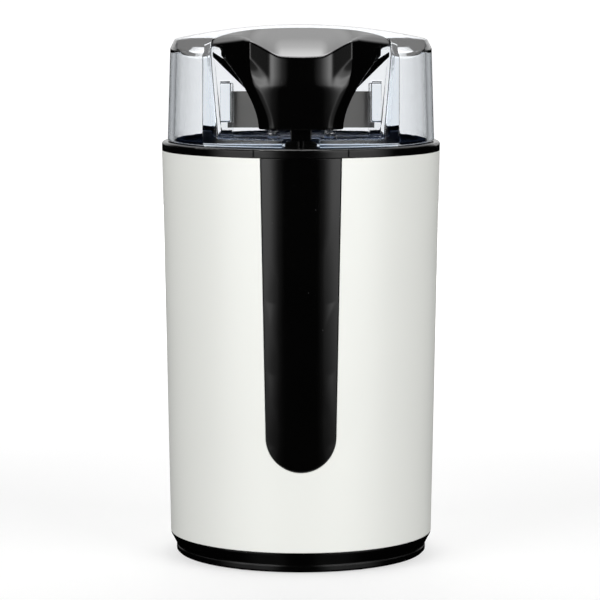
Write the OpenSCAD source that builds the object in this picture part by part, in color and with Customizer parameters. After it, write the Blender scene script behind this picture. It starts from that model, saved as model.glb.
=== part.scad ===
// Electric spice grinder: tapered casing, clear lid with a press lever, steel bowl and motor.
// Millimetres, +Z up, the front of the grinder faces -Y, the origin is under its centre.
// Heights stack up from the floor: base, fan, motor, deck, bowl, collar, lid.

/* [Casing] */
// Outer radius of the sleeve at its upper edge, which most other radii follow
sleeve_r_top = 47.45; // [46:0.05:49]
// How much narrower the sleeve is at its lower edge
sleeve_taper = 2.45; // [1.5:0.05:3.5]
// Wall of the painted sleeve
sleeve_wall = 1; // [0.6:0.1:1.2]
// Wall of the inner housing
housing_wall = 1.8; // [1.4:0.1:2]
// Gap between the sleeve and the inner housing
wall_gap = 0.3; // [0.2:0.05:0.4]
// Thickness of the deck that carries the motor and the switch
deck_t = 3; // [2.5:0.5:4]

/* [Front strip] */
// Half width of the slot in the sleeve at the collar
slot_half_top = 13.45; // [12.5:0.05:14]
// Half width of the slot at its round end, and that end's radius
slot_half_end = 11.75; // [10:0.25:12.25]
// Height of the slot's lowest point above the sleeve's lower edge
slot_rise = 27; // [24:1:40]
// Gap around the strip in its slot
strip_gap = 0.35; // [0.2:0.05:0.5]
// How far the strip's face lies below the sleeve's face
strip_recess = 0.25; // [0.1:0.05:0.4]

/* [Base] */
// How far the rubber feet stand out under the base ring
foot_stand = 0.6; // [0.4:0.1:1.2]
// Radius of a rubber foot
foot_r = 4.5; // [3.5:0.5:5]
// Distance from the base ring's outer edge to the circle of feet and base screws
foot_set = 7; // [6.5:0.5:8]
// How far the base ring stands in from the sleeve's lower edge
ring_set = 2; // [1:0.25:2.5]
// Wall of the base ring
ring_wall = 2; // [1.5:0.25:2.5]
// Height of the upright part of the base ring
ring_h = 2.8; // [2.4:0.2:4]
// Height of the sloping lip above the base ring
lip_rise = 3.6; // [3:0.2:5]
// Height of the upright edge at the top of the lip
lip_edge = 0.6; // [0.4:0.1:1]
// How far the lip stays inside the sleeve's lower edge
lip_inset = 0.1; // [0:0.05:0.3]
// How far the base floor lies above the ring's lower edge
floor_lift = 1.6; // [1.2:0.1:2]
// Thickness of the base floor
floor_t = 1.8; // [1.5:0.1:2.4]
// Number of air slots in the base floor
vent_count = 14; // [8:1:18]
// Width of an air slot
vent_w = 2.2; // [1.6:0.2:3]
// Inner end of an air slot
vent_r_in = 12; // [10:1:14]
// Outer end of an air slot
vent_r_out = 25; // [20:1:28]

/* [Cord inlet] */
// Radius of the cord hole through the bush
cord_r = 3.5; // [3:0.25:3.75]
// Radius of the bush in the wall
bush_r = 5; // [4.8:0.1:5.4]
// Radius of the bush's two flanges
bush_flange_r = 6.5; // [6.2:0.1:7]
// Height of the cord inlet above the base floor
bush_rise = 12; // [10:1:16]
// How far the outer flange reaches past the sleeve
bush_out = 1.8; // [1.4:0.1:2]
// Thickness of the bush's inner flange
bush_flange_t = 1.5; // [1:0.25:2]

/* [Motor] */
// Radius of the motor shaft
shaft_r = 3; // [2.5:0.25:3.5]
// Running clearance of the shaft in its bearings and seal
shaft_fit = 0.05; // [0.02:0.01:0.09]
// Space between the base floor and the shaft's lower end
shaft_floor_gap = 6; // [4:0.5:8]
// Radius of the cooling fan
fan_r = 24; // [20:1:26]
// Height of the fan
fan_h = 8; // [6:0.5:9]
// Number of fan blades
fan_blades = 9; // [6:1:12]
// Space between the fan and the lower bracket
fan_gap = 5.5; // [5:0.5:8]
// Thickness of the two motor brackets
bracket_t = 2.5; // [2:0.25:3]
// Length of the lower bracket's legs
leg_low = 25; // [25:0.5:28]
// Length of the upper bracket's legs
leg_up = 12; // [12:0.5:15]
// Height of the stator stack
stack_h = 24; // [20:1:30]
// Width of the stator from side to side
stator_w = 56; // [54:1:58]
// Depth of the stator from front to back
stator_d = 48; // [48:1:50]
// Width of the stator's yoke at the poles
yoke_t = 6; // [5:0.5:7]
// Distance from the stator's side yoke to the armature
pole_room = 7.2; // [7:0.2:8]
// Air gap between armature and pole shoes
air_gap = 0.5; // [0.3:0.1:0.8]
// Number of slots in the armature and bars on the commutator
slot_count = 12; // [8:1:16]
// Radius of the commutator
commutator_r = 8; // [7.5:0.25:9]
// Length of the commutator
commutator_h = 10; // [9:0.5:11]
// Radius of a motor screw
screw_r = 1.5; // [1.25:0.25:1.75]
// Distance of a motor screw from the stator's front or back face
screw_edge = 2.5; // [2.25:0.25:2.75]
// Height of the rubber mounts between motor and deck
mount_h = 8.5; // [7:0.5:10]

/* [Bowl and blade] */
// Distance from the collar's outer edge to the inner wall of the bowl
bowl_set = 17.05; // [16.85:0.1:18.5]
// Depth of the bowl
bowl_depth = 28.5; // [27:0.5:32]
// Sheet thickness of the bowl
bowl_t = 0.6; // [0.5:0.1:0.8]
// Radius of the bowl's lower corner
bowl_fillet = 8; // [6:0.5:9]
// How far the bowl's rim reaches out over the collar
rim_reach = 3; // [2:0.25:3.5]
// Space between the deck and the bowl
bowl_gap = 11; // [10:0.5:14]
// Space between the blade tips and the wall of the bowl
blade_tip_gap = 3.4; // [2.9:0.1:6.4]
// Width of the blade
blade_w = 9; // [7:0.5:11]
// Thickness of the blade
blade_t = 1.2; // [1:0.1:1.6]
// How steeply one blade tip rises
blade_up = 24; // [10:1:30]
// How steeply the other blade tip falls
blade_down = 8; // [4:1:9]

/* [Collar] */
// Height of the collar above the sleeve
collar_h = 3.1; // [2.6:0.1:4]
// Rounding of the collar's upper edge
collar_edge = 0.9; // [0.4:0.1:1.2]
// Height of the raised ring that centres the lid
ring_rise = 1; // [0.6:0.1:1.4]
// Width of the raised ring
centring_w = 2.4; // [1.6:0.2:3]
// Depth of the collar's skirt inside the housing
skirt_h = 6; // [5:0.5:8]
// Distance of the two seams from the collar's middle
seam_x = 15.6; // [14.5:0.1:17]

/* [Lid] */
// Distance from the collar's outer edge to the foot of the lid
lid_set = 1.95; // [1.5:0.05:2.2]
// How much the lid's wall narrows towards the top
lid_taper = 1; // [0.6:0.1:1.2]
// How far the lid's sloping edge leans inwards
lid_bevel = 1.6; // [1.3:0.1:2]
// Height of the lid's wall
lid_wall_h = 31.4; // [30:0.2:34]
// Height of the lid's sloping edge
lid_slope_h = 3.2; // [2.5:0.1:4]
// Rise of the lid's dome
lid_dome = 4.8; // [4:0.1:5.5]
// Wall of the lid
lid_wall = 2.2; // [1.8:0.1:2.4]
// Gap under the lid where it rests on the collar
lid_seat = 0.1; // [0.05:0.05:0.2]
// Distance from the lid's side to the inside of the front pocket
pocket_set = 14.7; // [14.3:0.1:14.8]
// Wall of the pocket's sides
pocket_wall = 1.8; // [1.5:0.1:2]
// Depth of the pocket from the lid's foot to the pocket's back wall
pocket_deep = 19.5; // [19.3:0.1:20]
// Wall of the pocket's back
pocket_back_wall = 2; // [1.5:0.1:2.4]
// Thickness of the pocket's floor
pocket_floor = 3; // [2.4:0.1:3.2]
// Half width of the notch in the pocket's floor
notch_half = 6.15; // [5.9:0.05:6.8]

/* [Press lever] */
// Stroke of the press lever
stroke = 2.2; // [1.8:0.1:2.3]
// Space left under the lever at the end of its stroke
lever_slack = 0.7; // [0.6:0.1:1.2]
// How far the lever's front lies inside the lid's wall
lever_inset = 0.5; // [0.3:0.1:0.9]
// Half width of the lever's front face at its foot
face_half = 10; // [9:0.25:10.5]
// Half width of the lever's back at its foot
back_half = 13.9; // [13:0.1:14.5]
// Distance from a wing's back corner to its front corner, sideways
wing_cut = 7.2; // [6.4:0.2:8.4]
// Running gap between a wing and the pocket's side wall
wing_gap = 0.4; // [0.4:0.1:1]
// Height from the lever's foot to the wing tips
wing_rise = 27.1; // [26:0.1:28]
// Height of the lever's back edge above its foot
lever_back_h = 32.6; // [32:0.1:33]
// How far the thumb ramp's front edge lies under the wings
ramp_drop = 6.28; // [5:0.1:7]
// Thickness of the guide plate behind the lever
guide_t = 1.7; // [1.4:0.1:2]
// Distance from the pocket's side wall to the guide plate
guide_set = 6.6; // [6.2:0.1:7.3]
// Height of the guide plate
guide_h = 12; // [11:0.5:14]
// Half width of the stem that presses the switch plunger
stem_half = 3.5; // [3:0.25:4]
// Radius of the lever's return springs
lever_spring_r = 2.3; // [2.1:0.1:2.4]
// Wire radius of the lever's return springs
lever_wire_r = 0.3; // [0.25:0.05:0.35]

/* [Switch] */
// Half width of the plunger's head
plunger_half = 5.3; // [4.6:0.1:5.6]
// Distance from the collar's outer edge to the front of the plunger's head
plunger_set = 5.25; // [5.15:0.05:5.45]
// Depth of the plunger's head from front to back
plunger_depth = 5.7; // [5.4:0.1:6]
// Height of the plunger's head above the collar
plunger_rise = 2.3; // [2.3:0.1:2.6]
// Radius of the plunger's rod
rod_r = 2; // [1.75:0.05:2.1]
// Running clearance of the rod in its guide
rod_fit = 0.05; // [0.02:0.01:0.09]
// Height of the switch body
switch_h = 13; // [12:0.5:14]
// Length of the switch body
switch_w = 26; // [25:0.5:27]
// Thickness of the switch body
switch_d = 7; // [6.5:0.25:7.25]
// Distance from the leaf's pivot to the rod
leaf_arm = 12; // [11.5:0.1:12.5]
// Distance from the leaf's pivot to the button
button_arm = 5.4; // [5:0.1:6]

/* [Hidden] */
$fn = 96;
eps = 0.01;
seat = 0.3;
screw_clear = 0.3;
thread_fit = 0.05;

// Radii that follow the collar's outer edge
sleeve_r_low = sleeve_r_top - sleeve_taper;
ring_r = sleeve_r_low - ring_set;
foot_circle_r = ring_r - foot_set;
bowl_r = sleeve_r_top - bowl_set;
blade_reach = bowl_r - blade_tip_gap;
lid_r_low = sleeve_r_top - lid_set;
lid_r_top = lid_r_low - lid_taper;
lid_r_dome = lid_r_top - lid_bevel;
pocket_half = lid_r_top - pocket_set;
pocket_back = lid_r_low - pocket_deep;
lever_r = lid_r_top - lever_inset;
wing_half = pocket_half - wing_gap;
wing_face_half = wing_half - wing_cut;
guide_half = pocket_half - guide_set;
plunger_front_r = sleeve_r_top - plunger_set;
screw_place = stator_d / 2 - screw_edge;
armature_r = stator_w / 2 - yoke_t - pole_room;
lever_gap = stroke + lever_slack;

// Heights from the floor upwards
floor_z = foot_stand + floor_lift;
floor_top = floor_z + floor_t;
ring_top = foot_stand + ring_h;
lip_z = ring_top + lip_rise;
sleeve_z = lip_z + lip_edge;
shaft_z = floor_top + shaft_floor_gap;
fan_z = shaft_z + 1;
low_bracket_z = fan_z + fan_h + fan_gap;
stator_z = low_bracket_z + bracket_t + leg_low;
up_bracket_z = stator_z + stack_h + leg_up;
mount_z = up_bracket_z + bracket_t;
deck_z = mount_z + mount_h;
deck_top = deck_z + deck_t;
bowl_z = deck_top + bowl_gap;
bowl_in_z = bowl_z + bowl_t;
collar_top = bowl_in_z + bowl_depth;
collar_z = collar_top - collar_h;
sleeve_h = collar_z - sleeve_z;
lid_z = collar_top + lid_seat;
lid_slope_z = lid_z + lid_wall_h;
lid_dome_z = lid_slope_z + lid_slope_h;
pocket_top = lid_z + pocket_floor;
lever_z = pocket_top + lever_gap;

// Radii of the tapered walls at a height
function sleeve_r(z) = sleeve_r_low + (sleeve_r_top - sleeve_r_low) * (z - sleeve_z) / sleeve_h;
function housing_r(z) = sleeve_r(z) - sleeve_wall - wall_gap;
function housing_in(z) = housing_r(z) - housing_wall;

module tapered(z0, z1, inset) {
    translate([0, 0, z0])
        cylinder(h = z1 - z0, r1 = sleeve_r(z0) - inset, r2 = sleeve_r(z1) - inset);
}

module tube(z0, z1, r_out, r_in) {
    translate([0, 0, z0]) difference() {
        cylinder(h = z1 - z0, r = r_out);
        translate([0, 0, -1]) cylinder(h = z1 - z0 + 2, r = r_in);
    }
}

module round_rect(w, d, r) {
    square([w - 2 * r, d], center = true);
    square([w, d - 2 * r], center = true);
    for (x = [-1, 1], y = [-1, 1])
        translate([x * (w / 2 - r), y * (d / 2 - r)]) circle(r);
}

module box(x0, x1, y0, y1, z0, z1) {
    translate([x0, y0, z0]) cube([x1 - x0, y1 - y0, z1 - z0]);
}

// ---- Casing ----
// U-shaped outline of the strip's slot, seen from the front, with a gap taken off all round
module slot_outline(gap) {
    end_z = sleeve_z + slot_rise + slot_half_end;
    translate([0, end_z]) circle(slot_half_end - gap);
    polygon([[-slot_half_end + gap, end_z], [slot_half_end - gap, end_z],
        [slot_half_top - gap, collar_z + gap], [-slot_half_top + gap, collar_z + gap]]);
}

module slot_prism(gap) {
    rotate([90, 0, 0]) linear_extrude(height = 60) slot_outline(gap);
}

bush_z = floor_top + bush_rise;
bush_hole_r = bush_r + 0.1;
module bush_hole() {
    translate([0, 30, bush_z]) rotate([-90, 0, 0]) cylinder(h = 30, r = bush_hole_r);
}

module outer_sleeve() {
    color([0.93, 0.93, 0.9]) difference() {
        tapered(sleeve_z, collar_z, 0);
        tapered(sleeve_z - 1, collar_z + 1, sleeve_wall);
        slot_prism(0);
        bush_hole();
    }
}

strip_inset = sleeve_wall + wall_gap - 0.05;
module front_strip() {
    color([0.02, 0.02, 0.02]) intersection() {
        difference() {
            tapered(sleeve_z, collar_z - 0.1, strip_recess);
            tapered(sleeve_z - 1, collar_z + 1, strip_inset);
        }
        slot_prism(strip_gap);
    }
}

// Screws of the base and of the collar, and what they bite into
base_screw_angles = [30, 150, 210, 330];
collar_screw_angles = [45, 135, 225, 315];
collar_boss_r = 3.3;
collar_boss_circle = housing_in(deck_top) - collar_boss_r - 2.36;
collar_screw_grip = 11;
base_boss_r = 3.4;
base_boss_h = 14;
deck_boss_r = 4;
deck_boss_h = 5;
shaft_hole_r = 8;

// Switch, plunger and leaf
rod_y = -(plunger_front_r - plunger_depth / 2);
switch_x = -1;
switch_y = rod_y + 2.1;
switch_top = deck_top + switch_h;
leaf_t = 0.4;
leaf_lift = 2.4;
pivot_x = -leaf_arm;
pivot_z = switch_top + leaf_lift;
leaf_z = pivot_z + 0.4;
pin_r = 0.5;
ear_w = 1.1;
leaf_half = switch_d / 2 - ear_w - 0.2;
switch_hole_x = 9;
switch_hole_z = deck_top + 4;
wall_t = 1.8;
wall_h = 9;

module inner_housing() {
    color([0.08, 0.08, 0.08]) {
        difference() {
            union() {
                difference() {
                    tapered(sleeve_z, collar_z, sleeve_wall + wall_gap);
                    tapered(sleeve_z - 1, collar_z + 1, sleeve_wall + wall_gap + housing_wall);
                }
                tapered(deck_z, deck_top, sleeve_wall + wall_gap + housing_wall / 2);
                for (a = base_screw_angles) rotate([0, 0, a]) {
                    translate([foot_circle_r, 0, floor_top]) cylinder(h = base_boss_h, r = base_boss_r);
                    box(foot_circle_r + base_boss_r - 1, housing_in(sleeve_z) + 1, -1, 1,
                        sleeve_z, floor_top + base_boss_h);
                }
                for (s = [-1, 1]) translate([0, s * screw_place, deck_top - eps])
                    cylinder(h = deck_boss_h + eps, r = deck_boss_r);
                box(switch_x - switch_w / 2, switch_x + switch_w / 2,
                    switch_y + switch_d / 2, switch_y + switch_d / 2 + wall_t,
                    deck_top - eps, deck_top + wall_h);
            }
            translate([0, 0, deck_z - 1]) cylinder(h = deck_t + 2, r = shaft_hole_r);
            bush_hole();
            for (a = base_screw_angles) rotate([0, 0, a]) translate([foot_circle_r, 0, 0])
                cylinder(h = floor_top + base_boss_h - 2, r = screw_r + thread_fit);
            for (a = collar_screw_angles) rotate([0, 0, a]) translate([collar_boss_circle, 0, deck_z - 1])
                cylinder(h = deck_t + 2, r = screw_r + screw_clear);
            for (s = [-1, 1]) translate([0, s * screw_place, deck_z - 1])
                cylinder(h = deck_t + deck_boss_h + 2, r = screw_r + thread_fit);
            for (s = [-1, 1])
                translate([switch_x + s * switch_hole_x, switch_y + switch_d / 2 + wall_t + 1, switch_hole_z])
                rotate([90, 0, 0]) cylinder(h = wall_t + 2, r = screw_r + thread_fit);
        }
    }
}

// Collar: a ring around the bowl with a rounded edge, a skirt, a lid ring and the plunger's guide
skirt_r = housing_in(collar_z - skirt_h) - seat;
skirt_wall = 2;
bowl_out_r = bowl_r + bowl_t;
rim_r = bowl_out_r + rim_reach;
centring_r = lid_r_low - lid_wall - 0.4;
guide_floor_z = collar_z - skirt_h + 0.5;
guide_floor_t = 2;
guide_wall = 1.4;
slide_gap = 0.2;

module plunger_slot(gap, z0, z1) {
    intersection() {
        translate([0, 0, z0]) cylinder(h = z1 - z0, r = plunger_front_r + gap);
        box(-plunger_half - gap, plunger_half + gap, -sleeve_r_top,
            -plunger_front_r + plunger_depth + gap, z0, z1);
    }
}

module collar() {
    color([0.05, 0.05, 0.05]) difference() {
        union() {
            rotate_extrude() {
                translate([bowl_out_r + seat, collar_z])
                    square([sleeve_r_top - collar_edge - bowl_out_r - seat, collar_h]);
                translate([sleeve_r_top - 2 * collar_edge, collar_z])
                    square([2 * collar_edge, collar_h - collar_edge]);
                translate([sleeve_r_top - collar_edge, collar_top - collar_edge]) circle(collar_edge, $fn = 32);
                translate([skirt_r - skirt_wall, collar_z - skirt_h]) square([skirt_wall, skirt_h + eps]);
            }
            difference() {
                tube(collar_top - eps, collar_top + ring_rise, centring_r, centring_r - centring_w);
                box(-pocket_half - pocket_wall - 0.6, pocket_half + pocket_wall + 0.6, -60,
                    -pocket_back + pocket_back_wall + 0.6, collar_top, collar_top + 5);
            }
            intersection() {
                translate([0, 0, guide_floor_z - guide_floor_t]) cylinder(h = 20, r = skirt_r - 0.5);
                box(-plunger_half - guide_wall, plunger_half + guide_wall, -skirt_r,
                    -plunger_front_r + plunger_depth + guide_wall + slide_gap,
                    guide_floor_z - guide_floor_t, collar_z + eps);
            }
            for (a = collar_screw_angles) rotate([0, 0, a]) translate([collar_boss_circle, 0, deck_top])
                cylinder(h = collar_z - deck_top + eps, r = collar_boss_r);
        }
        translate([0, 0, collar_top - bowl_t]) cylinder(h = bowl_t + 0.01, r = rim_r + 0.2);
        plunger_slot(slide_gap, guide_floor_z, collar_top + 1);
        translate([0, rod_y, guide_floor_z - 5]) cylinder(h = 10, r = rod_r + rod_fit);
        for (a = collar_screw_angles) rotate([0, 0, a]) translate([collar_boss_circle, 0, deck_top - 1])
            cylinder(h = collar_screw_grip + 3, r = screw_r + thread_fit);
        for (s = [-1, 1]) box(s * seam_x - 0.12, s * seam_x + 0.12, -sleeve_r_top - 1,
            -sqrt(pow(sleeve_r_top - 0.4, 2) - seam_x * seam_x), collar_z - 1, collar_top + 1);
    }
}

// A pan-head screw whose shank points up from z0, with the head under z0
module screw_up(z0, length, head_r, head_h) {
    translate([0, 0, z0 - head_h]) cylinder(h = head_h, r = head_r, $fn = 32);
    translate([0, 0, z0 - eps]) cylinder(h = length + eps, r = screw_r, $fn = 32);
}

module collar_screws() {
    color([0.75, 0.75, 0.77]) for (a = collar_screw_angles) rotate([0, 0, a])
        translate([collar_boss_circle, 0, 0]) screw_up(deck_z, deck_t + collar_screw_grip, 2.9, 2);
}

// ---- Base ----
head_sink = 0.9;
base_head_r = 2.9;
module base_cover() {
    color([0.05, 0.05, 0.05]) difference() {
        rotate_extrude() difference() {
            polygon([[0, floor_z], [ring_r - ring_wall, floor_z], [ring_r - ring_wall, foot_stand],
                [ring_r - 0.6, foot_stand], [ring_r, foot_stand + 0.6], [ring_r, ring_top],
                [sleeve_r_low - lip_inset, lip_z], [sleeve_r_low - lip_inset, sleeve_z],
                [ring_r - ring_wall, sleeve_z], [ring_r - ring_wall, floor_top], [0, floor_top]]);
            translate([ring_r + 0.25, ring_top - 0.35]) circle(0.4, $fn = 24);
        }
        for (i = [0:vent_count - 1]) rotate([0, 0, i * 360 / vent_count])
            box(vent_r_in, vent_r_out, -vent_w / 2, vent_w / 2, floor_z - 1, floor_top + 1);
        for (a = base_screw_angles) rotate([0, 0, a]) translate([foot_circle_r, 0, floor_z - 1]) {
            cylinder(h = 5, r = screw_r + screw_clear);
            cylinder(h = 1 + head_sink, r = base_head_r + 0.2);
        }
    }
}

module base_screws() {
    color([0.75, 0.75, 0.77]) for (a = base_screw_angles) rotate([0, 0, a])
        translate([foot_circle_r, 0, 0]) screw_up(floor_z + head_sink, floor_t + 9, base_head_r, 1.4);
}

foot_angles = [60, 120, 240, 300];
module rubber_feet() {
    color([0.1, 0.1, 0.1]) for (a = foot_angles) rotate([0, 0, a])
        translate([foot_circle_r, 0, 0]) rotate_extrude() {
            square([foot_r - 0.4, floor_z]);
            translate([0, 0.4]) square([foot_r, floor_z - 0.4]);
        }
}

bush_out_y = sleeve_r(bush_z) + bush_out;
bush_in_y = sqrt(pow(housing_in(bush_z), 2) - pow(bush_flange_r, 2)) - seat;
module cord_bush() {
    color([0.06, 0.06, 0.06]) translate([0, 0, bush_z]) rotate([-90, 0, 0]) difference() {
        union() {
            translate([0, 0, bush_in_y - bush_flange_t]) cylinder(h = bush_flange_t, r = bush_flange_r);
            translate([0, 0, bush_in_y - eps]) cylinder(h = bush_out_y - bush_in_y, r = bush_r);
            translate([0, 0, sleeve_r(bush_z) + 0.15])
                cylinder(h = bush_out - 0.15, r1 = bush_flange_r, r2 = bush_flange_r - 0.6);
        }
        translate([0, 0, bush_in_y - bush_flange_t - 1])
            cylinder(h = bush_out_y - bush_in_y + bush_flange_t + 2, r = cord_r);
    }
}

// ---- Bowl and blade ----
seal_r = 6.5;
seal_flange_r = 9;
seal_flange_t = 1.4;
module grinding_bowl() {
    flat_r = bowl_r - bowl_fillet;
    corner_z = bowl_in_z + bowl_fillet;
    color([0.8, 0.8, 0.82]) rotate_extrude() {
        translate([seal_r + 0.05, bowl_z]) square([flat_r - seal_r - 0.05, bowl_t]);
        translate([flat_r, corner_z]) intersection() {
            difference() {
                circle(bowl_fillet + bowl_t);
                circle(bowl_fillet);
            }
            translate([0, -bowl_fillet - bowl_t]) square(bowl_fillet + bowl_t);
        }
        translate([bowl_r, corner_z]) square([bowl_t, collar_top - corner_z]);
        translate([bowl_r, collar_top - bowl_t]) square([bowl_t + rim_reach, bowl_t]);
    }
}

module shaft_seal() {
    color([0.15, 0.15, 0.15]) difference() {
        union() {
            translate([0, 0, bowl_z - 3]) cylinder(h = 3.1 + bowl_t, r = seal_r);
            translate([0, 0, bowl_in_z]) cylinder(h = seal_flange_t, r = seal_flange_r);
            translate([0, 0, bowl_z - 3]) cylinder(h = 2.9, r = seal_flange_r - 1);
        }
        translate([0, 0, bowl_z - 4]) cylinder(h = 10, r = shaft_r + shaft_fit);
    }
}

spacer_z = bowl_in_z + seal_flange_t + seat;
spacer_h = 2.3;
blade_z = spacer_z + spacer_h;
nut_z = blade_z + blade_t;
nut_h = 5.2;
shaft_top = nut_z + 3.4;
hub_fit = 0.04;
module blade_spacer() {
    color([0.7, 0.7, 0.72]) tube(spacer_z, blade_z, 4.5, shaft_r + hub_fit);
}

// Flat blade: a round hub and two arms, the one tip bent up and the other bent down
blade_flat = 11;
module blade_arm_outline() {
    polygon([[0, -blade_w / 2], [blade_flat + (blade_reach - blade_flat) * 0.7, -blade_w / 2],
        [blade_reach, blade_w * 0.1], [blade_reach - 1.5, blade_w / 2], [0, blade_w / 2]]);
}

module blade() {
    rise = (blade_reach - blade_flat) * tan(blade_up);
    drop = (blade_reach - blade_flat) * tan(blade_down);
    color([0.78, 0.78, 0.8]) translate([0, 0, blade_z]) difference() {
        intersection() {
            translate([0, 20, 0]) rotate([90, 0, 0]) linear_extrude(height = 40)
                polygon([[-blade_reach, -drop], [-blade_flat, 0], [blade_flat, 0], [blade_reach, rise],
                    [blade_reach, rise + blade_t / cos(blade_up)], [blade_flat, blade_t],
                    [-blade_flat, blade_t], [-blade_reach, blade_t / cos(blade_down) - drop]]);
            translate([0, 0, -10]) linear_extrude(height = 40) {
                circle(blade_w / 2 + 1.2);
                blade_arm_outline();
                rotate(180) blade_arm_outline();
            }
        }
        translate([0, 0, -1]) cylinder(h = blade_t + 2, r = shaft_r + hub_fit);
    }
}

module blade_nut() {
    color([0.7, 0.7, 0.72]) translate([0, 0, nut_z]) difference() {
        union() {
            cylinder(h = 3, r = 5.2, $fn = 6);
            rotate_extrude() intersection() {
                translate([0, nut_h - 4.4]) circle(4.4);
                square([6, nut_h]);
            }
        }
        translate([0, 0, -1]) cylinder(h = shaft_top - nut_z + 1.1, r = shaft_r + hub_fit);
    }
}

// ---- Motor ----
bracket_ear = 5.5;
bracket_reach = 2 * (screw_place + bracket_ear);
bracket_leg_r = 2.3;
hub_drop = 3.5;
up_bearing_h = 8;
hub_low_z = low_bracket_z - 2.5;
hub_low_h = 8;
bearing_r = 6;
up_bearing_r = 6.5;
winding_h = 6.5;
core_over = 1;
core_z = stator_z - core_over;
core_h = stack_h + 2 * core_over;

module motor_shaft() {
    color([0.75, 0.75, 0.77]) translate([0, 0, shaft_z]) cylinder(h = shaft_top - shaft_z, r = shaft_r);
}

module armature_core() {
    color([0.45, 0.45, 0.48]) translate([0, 0, core_z]) linear_extrude(height = core_h) difference() {
        circle(armature_r);
        circle(shaft_r + hub_fit);
        for (i = [0:slot_count - 1]) rotate(i * 360 / slot_count)
            translate([armature_r - 4.5, -0.7]) square([6, 1.4]);
    }
}

module armature_winding() {
    color([0.72, 0.38, 0.18]) {
        for (z = [core_z - winding_h, core_z + core_h]) translate([0, 0, z]) rotate_extrude()
            difference() {
                union() {
                    translate([0, 1.5]) square([armature_r - 1.5, winding_h - 3]);
                    square([armature_r - 3, winding_h]);
                    for (v = [1.5, winding_h - 1.5]) translate([armature_r - 3, v]) circle(1.5, $fn = 32);
                }
                translate([-1, -1]) square([shaft_r + hub_fit + 1, winding_h + 2]);
            }
    }
}

commutator_z = core_z - winding_h - 2 - commutator_h;
module commutator() {
    color([0.8, 0.5, 0.25]) translate([0, 0, commutator_z]) {
        linear_extrude(height = commutator_h) difference() {
            circle(commutator_r);
            circle(shaft_r + hub_fit);
            for (i = [0:slot_count - 1]) rotate(i * 360 / slot_count)
                translate([commutator_r - 0.8, -0.2]) square([2, 0.4]);
        }
        tube(commutator_h - eps, commutator_h + 2, shaft_r + 2.5, shaft_r + hub_fit);
    }
}

module cooling_fan() {
    color([0.85, 0.85, 0.8]) translate([0, 0, fan_z]) difference() {
        union() {
            cylinder(h = fan_h, r = 6);
            translate([0, 0, fan_h - 1.5]) cylinder(h = 1.5, r = fan_r);
            for (i = [0:fan_blades - 1]) rotate([0, 0, i * 360 / fan_blades])
                box(5, fan_r - 0.5, -0.6, 0.6, 0, fan_h - 1);
        }
        translate([0, 0, -1]) cylinder(h = fan_h + 2, r = shaft_r + hub_fit);
    }
}

bore_r = armature_r + air_gap;
shoe_t = 3.7;
pole_half = 8;
coil_t = 2.4;
coil_w = 4.5;
module stator_core() {
    window_w = stator_w - 2 * yoke_t;
    color([0.5, 0.5, 0.53]) translate([0, 0, stator_z]) linear_extrude(height = stack_h) difference() {
        union() {
            difference() {
                round_rect(stator_w, stator_d, 7);
                round_rect(window_w, stator_d - 10, 4);
            }
            intersection() {
                circle(bore_r + shoe_t);
                square([2 * bore_r + 2 * shoe_t + 1, 2 * pole_half + 10], center = true);
            }
            square([window_w + 1, 2 * pole_half], center = true);
        }
        circle(bore_r);
        for (s = [-1, 1]) translate([0, s * screw_place]) circle(screw_r + screw_clear);
    }
}

module field_coils() {
    coil_x = bore_r + shoe_t + seat;
    inner_z = stack_h + 2 * seat;
    color([0.75, 0.4, 0.2]) for (s = [0, 180]) rotate([0, 0, s])
        translate([coil_x, 0, stator_z + stack_h / 2]) rotate([90, 0, 90])
        linear_extrude(height = coil_t) difference() {
            round_rect(2 * (pole_half + seat + coil_w), inner_z + 2 * coil_w, 4);
            round_rect(2 * (pole_half + seat), inner_z, 0.5);
        }
}

module upper_bracket() {
    hub_z = up_bracket_z - hub_drop;
    color([0.7, 0.7, 0.72]) difference() {
        union() {
            translate([0, 0, up_bracket_z]) linear_extrude(height = bracket_t)
                round_rect(2 * up_bearing_r + 2, bracket_reach, 6);
            translate([0, 0, hub_z]) cylinder(h = mount_z + 6 - hub_z, r = up_bearing_r + 2.5);
            for (s = [-1, 1]) translate([0, s * screw_place, stator_z + stack_h])
                cylinder(h = leg_up + eps, r = bracket_leg_r);
        }
        translate([0, 0, hub_z + 1.5]) cylinder(h = 20, r = up_bearing_r + hub_fit);
        translate([0, 0, hub_z - 1]) cylinder(h = 20, r = shaft_r + 1);
        for (s = [-1, 1]) translate([0, s * screw_place, stator_z])
            cylinder(h = 60, r = screw_r + screw_clear);
    }
}

module upper_bearing() {
    color([0.7, 0.55, 0.25])
        tube(up_bracket_z - hub_drop + 1.5, up_bracket_z - hub_drop + 1.5 + up_bearing_h, up_bearing_r,
            shaft_r + shaft_fit);
}

module lower_bracket() {
    color([0.7, 0.7, 0.72]) difference() {
        union() {
            translate([0, 0, low_bracket_z]) linear_extrude(height = bracket_t)
                round_rect(bracket_reach, bracket_reach, 12);
            translate([0, 0, hub_low_z]) cylinder(h = hub_low_h, r = bearing_r + 2);
            for (s = [-1, 1]) translate([0, s * screw_place, low_bracket_z])
                cylinder(h = leg_low + bracket_t, r = bracket_leg_r);
        }
        translate([0, 0, hub_low_z + 1]) cylinder(h = 20, r = bearing_r + hub_fit);
        translate([0, 0, hub_low_z - 1]) cylinder(h = 20, r = shaft_r + 1);
        for (s = [-1, 1]) translate([0, s * screw_place, low_bracket_z - 1])
            cylinder(h = 60, r = screw_r + screw_clear);
        for (x = [-1, 1], y = [-1, 1])
            translate([x * (screw_place - 6.5), y * (screw_place - 6.5), low_bracket_z - 1])
            cylinder(h = bracket_t + 2, r = 6);
    }
}

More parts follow.
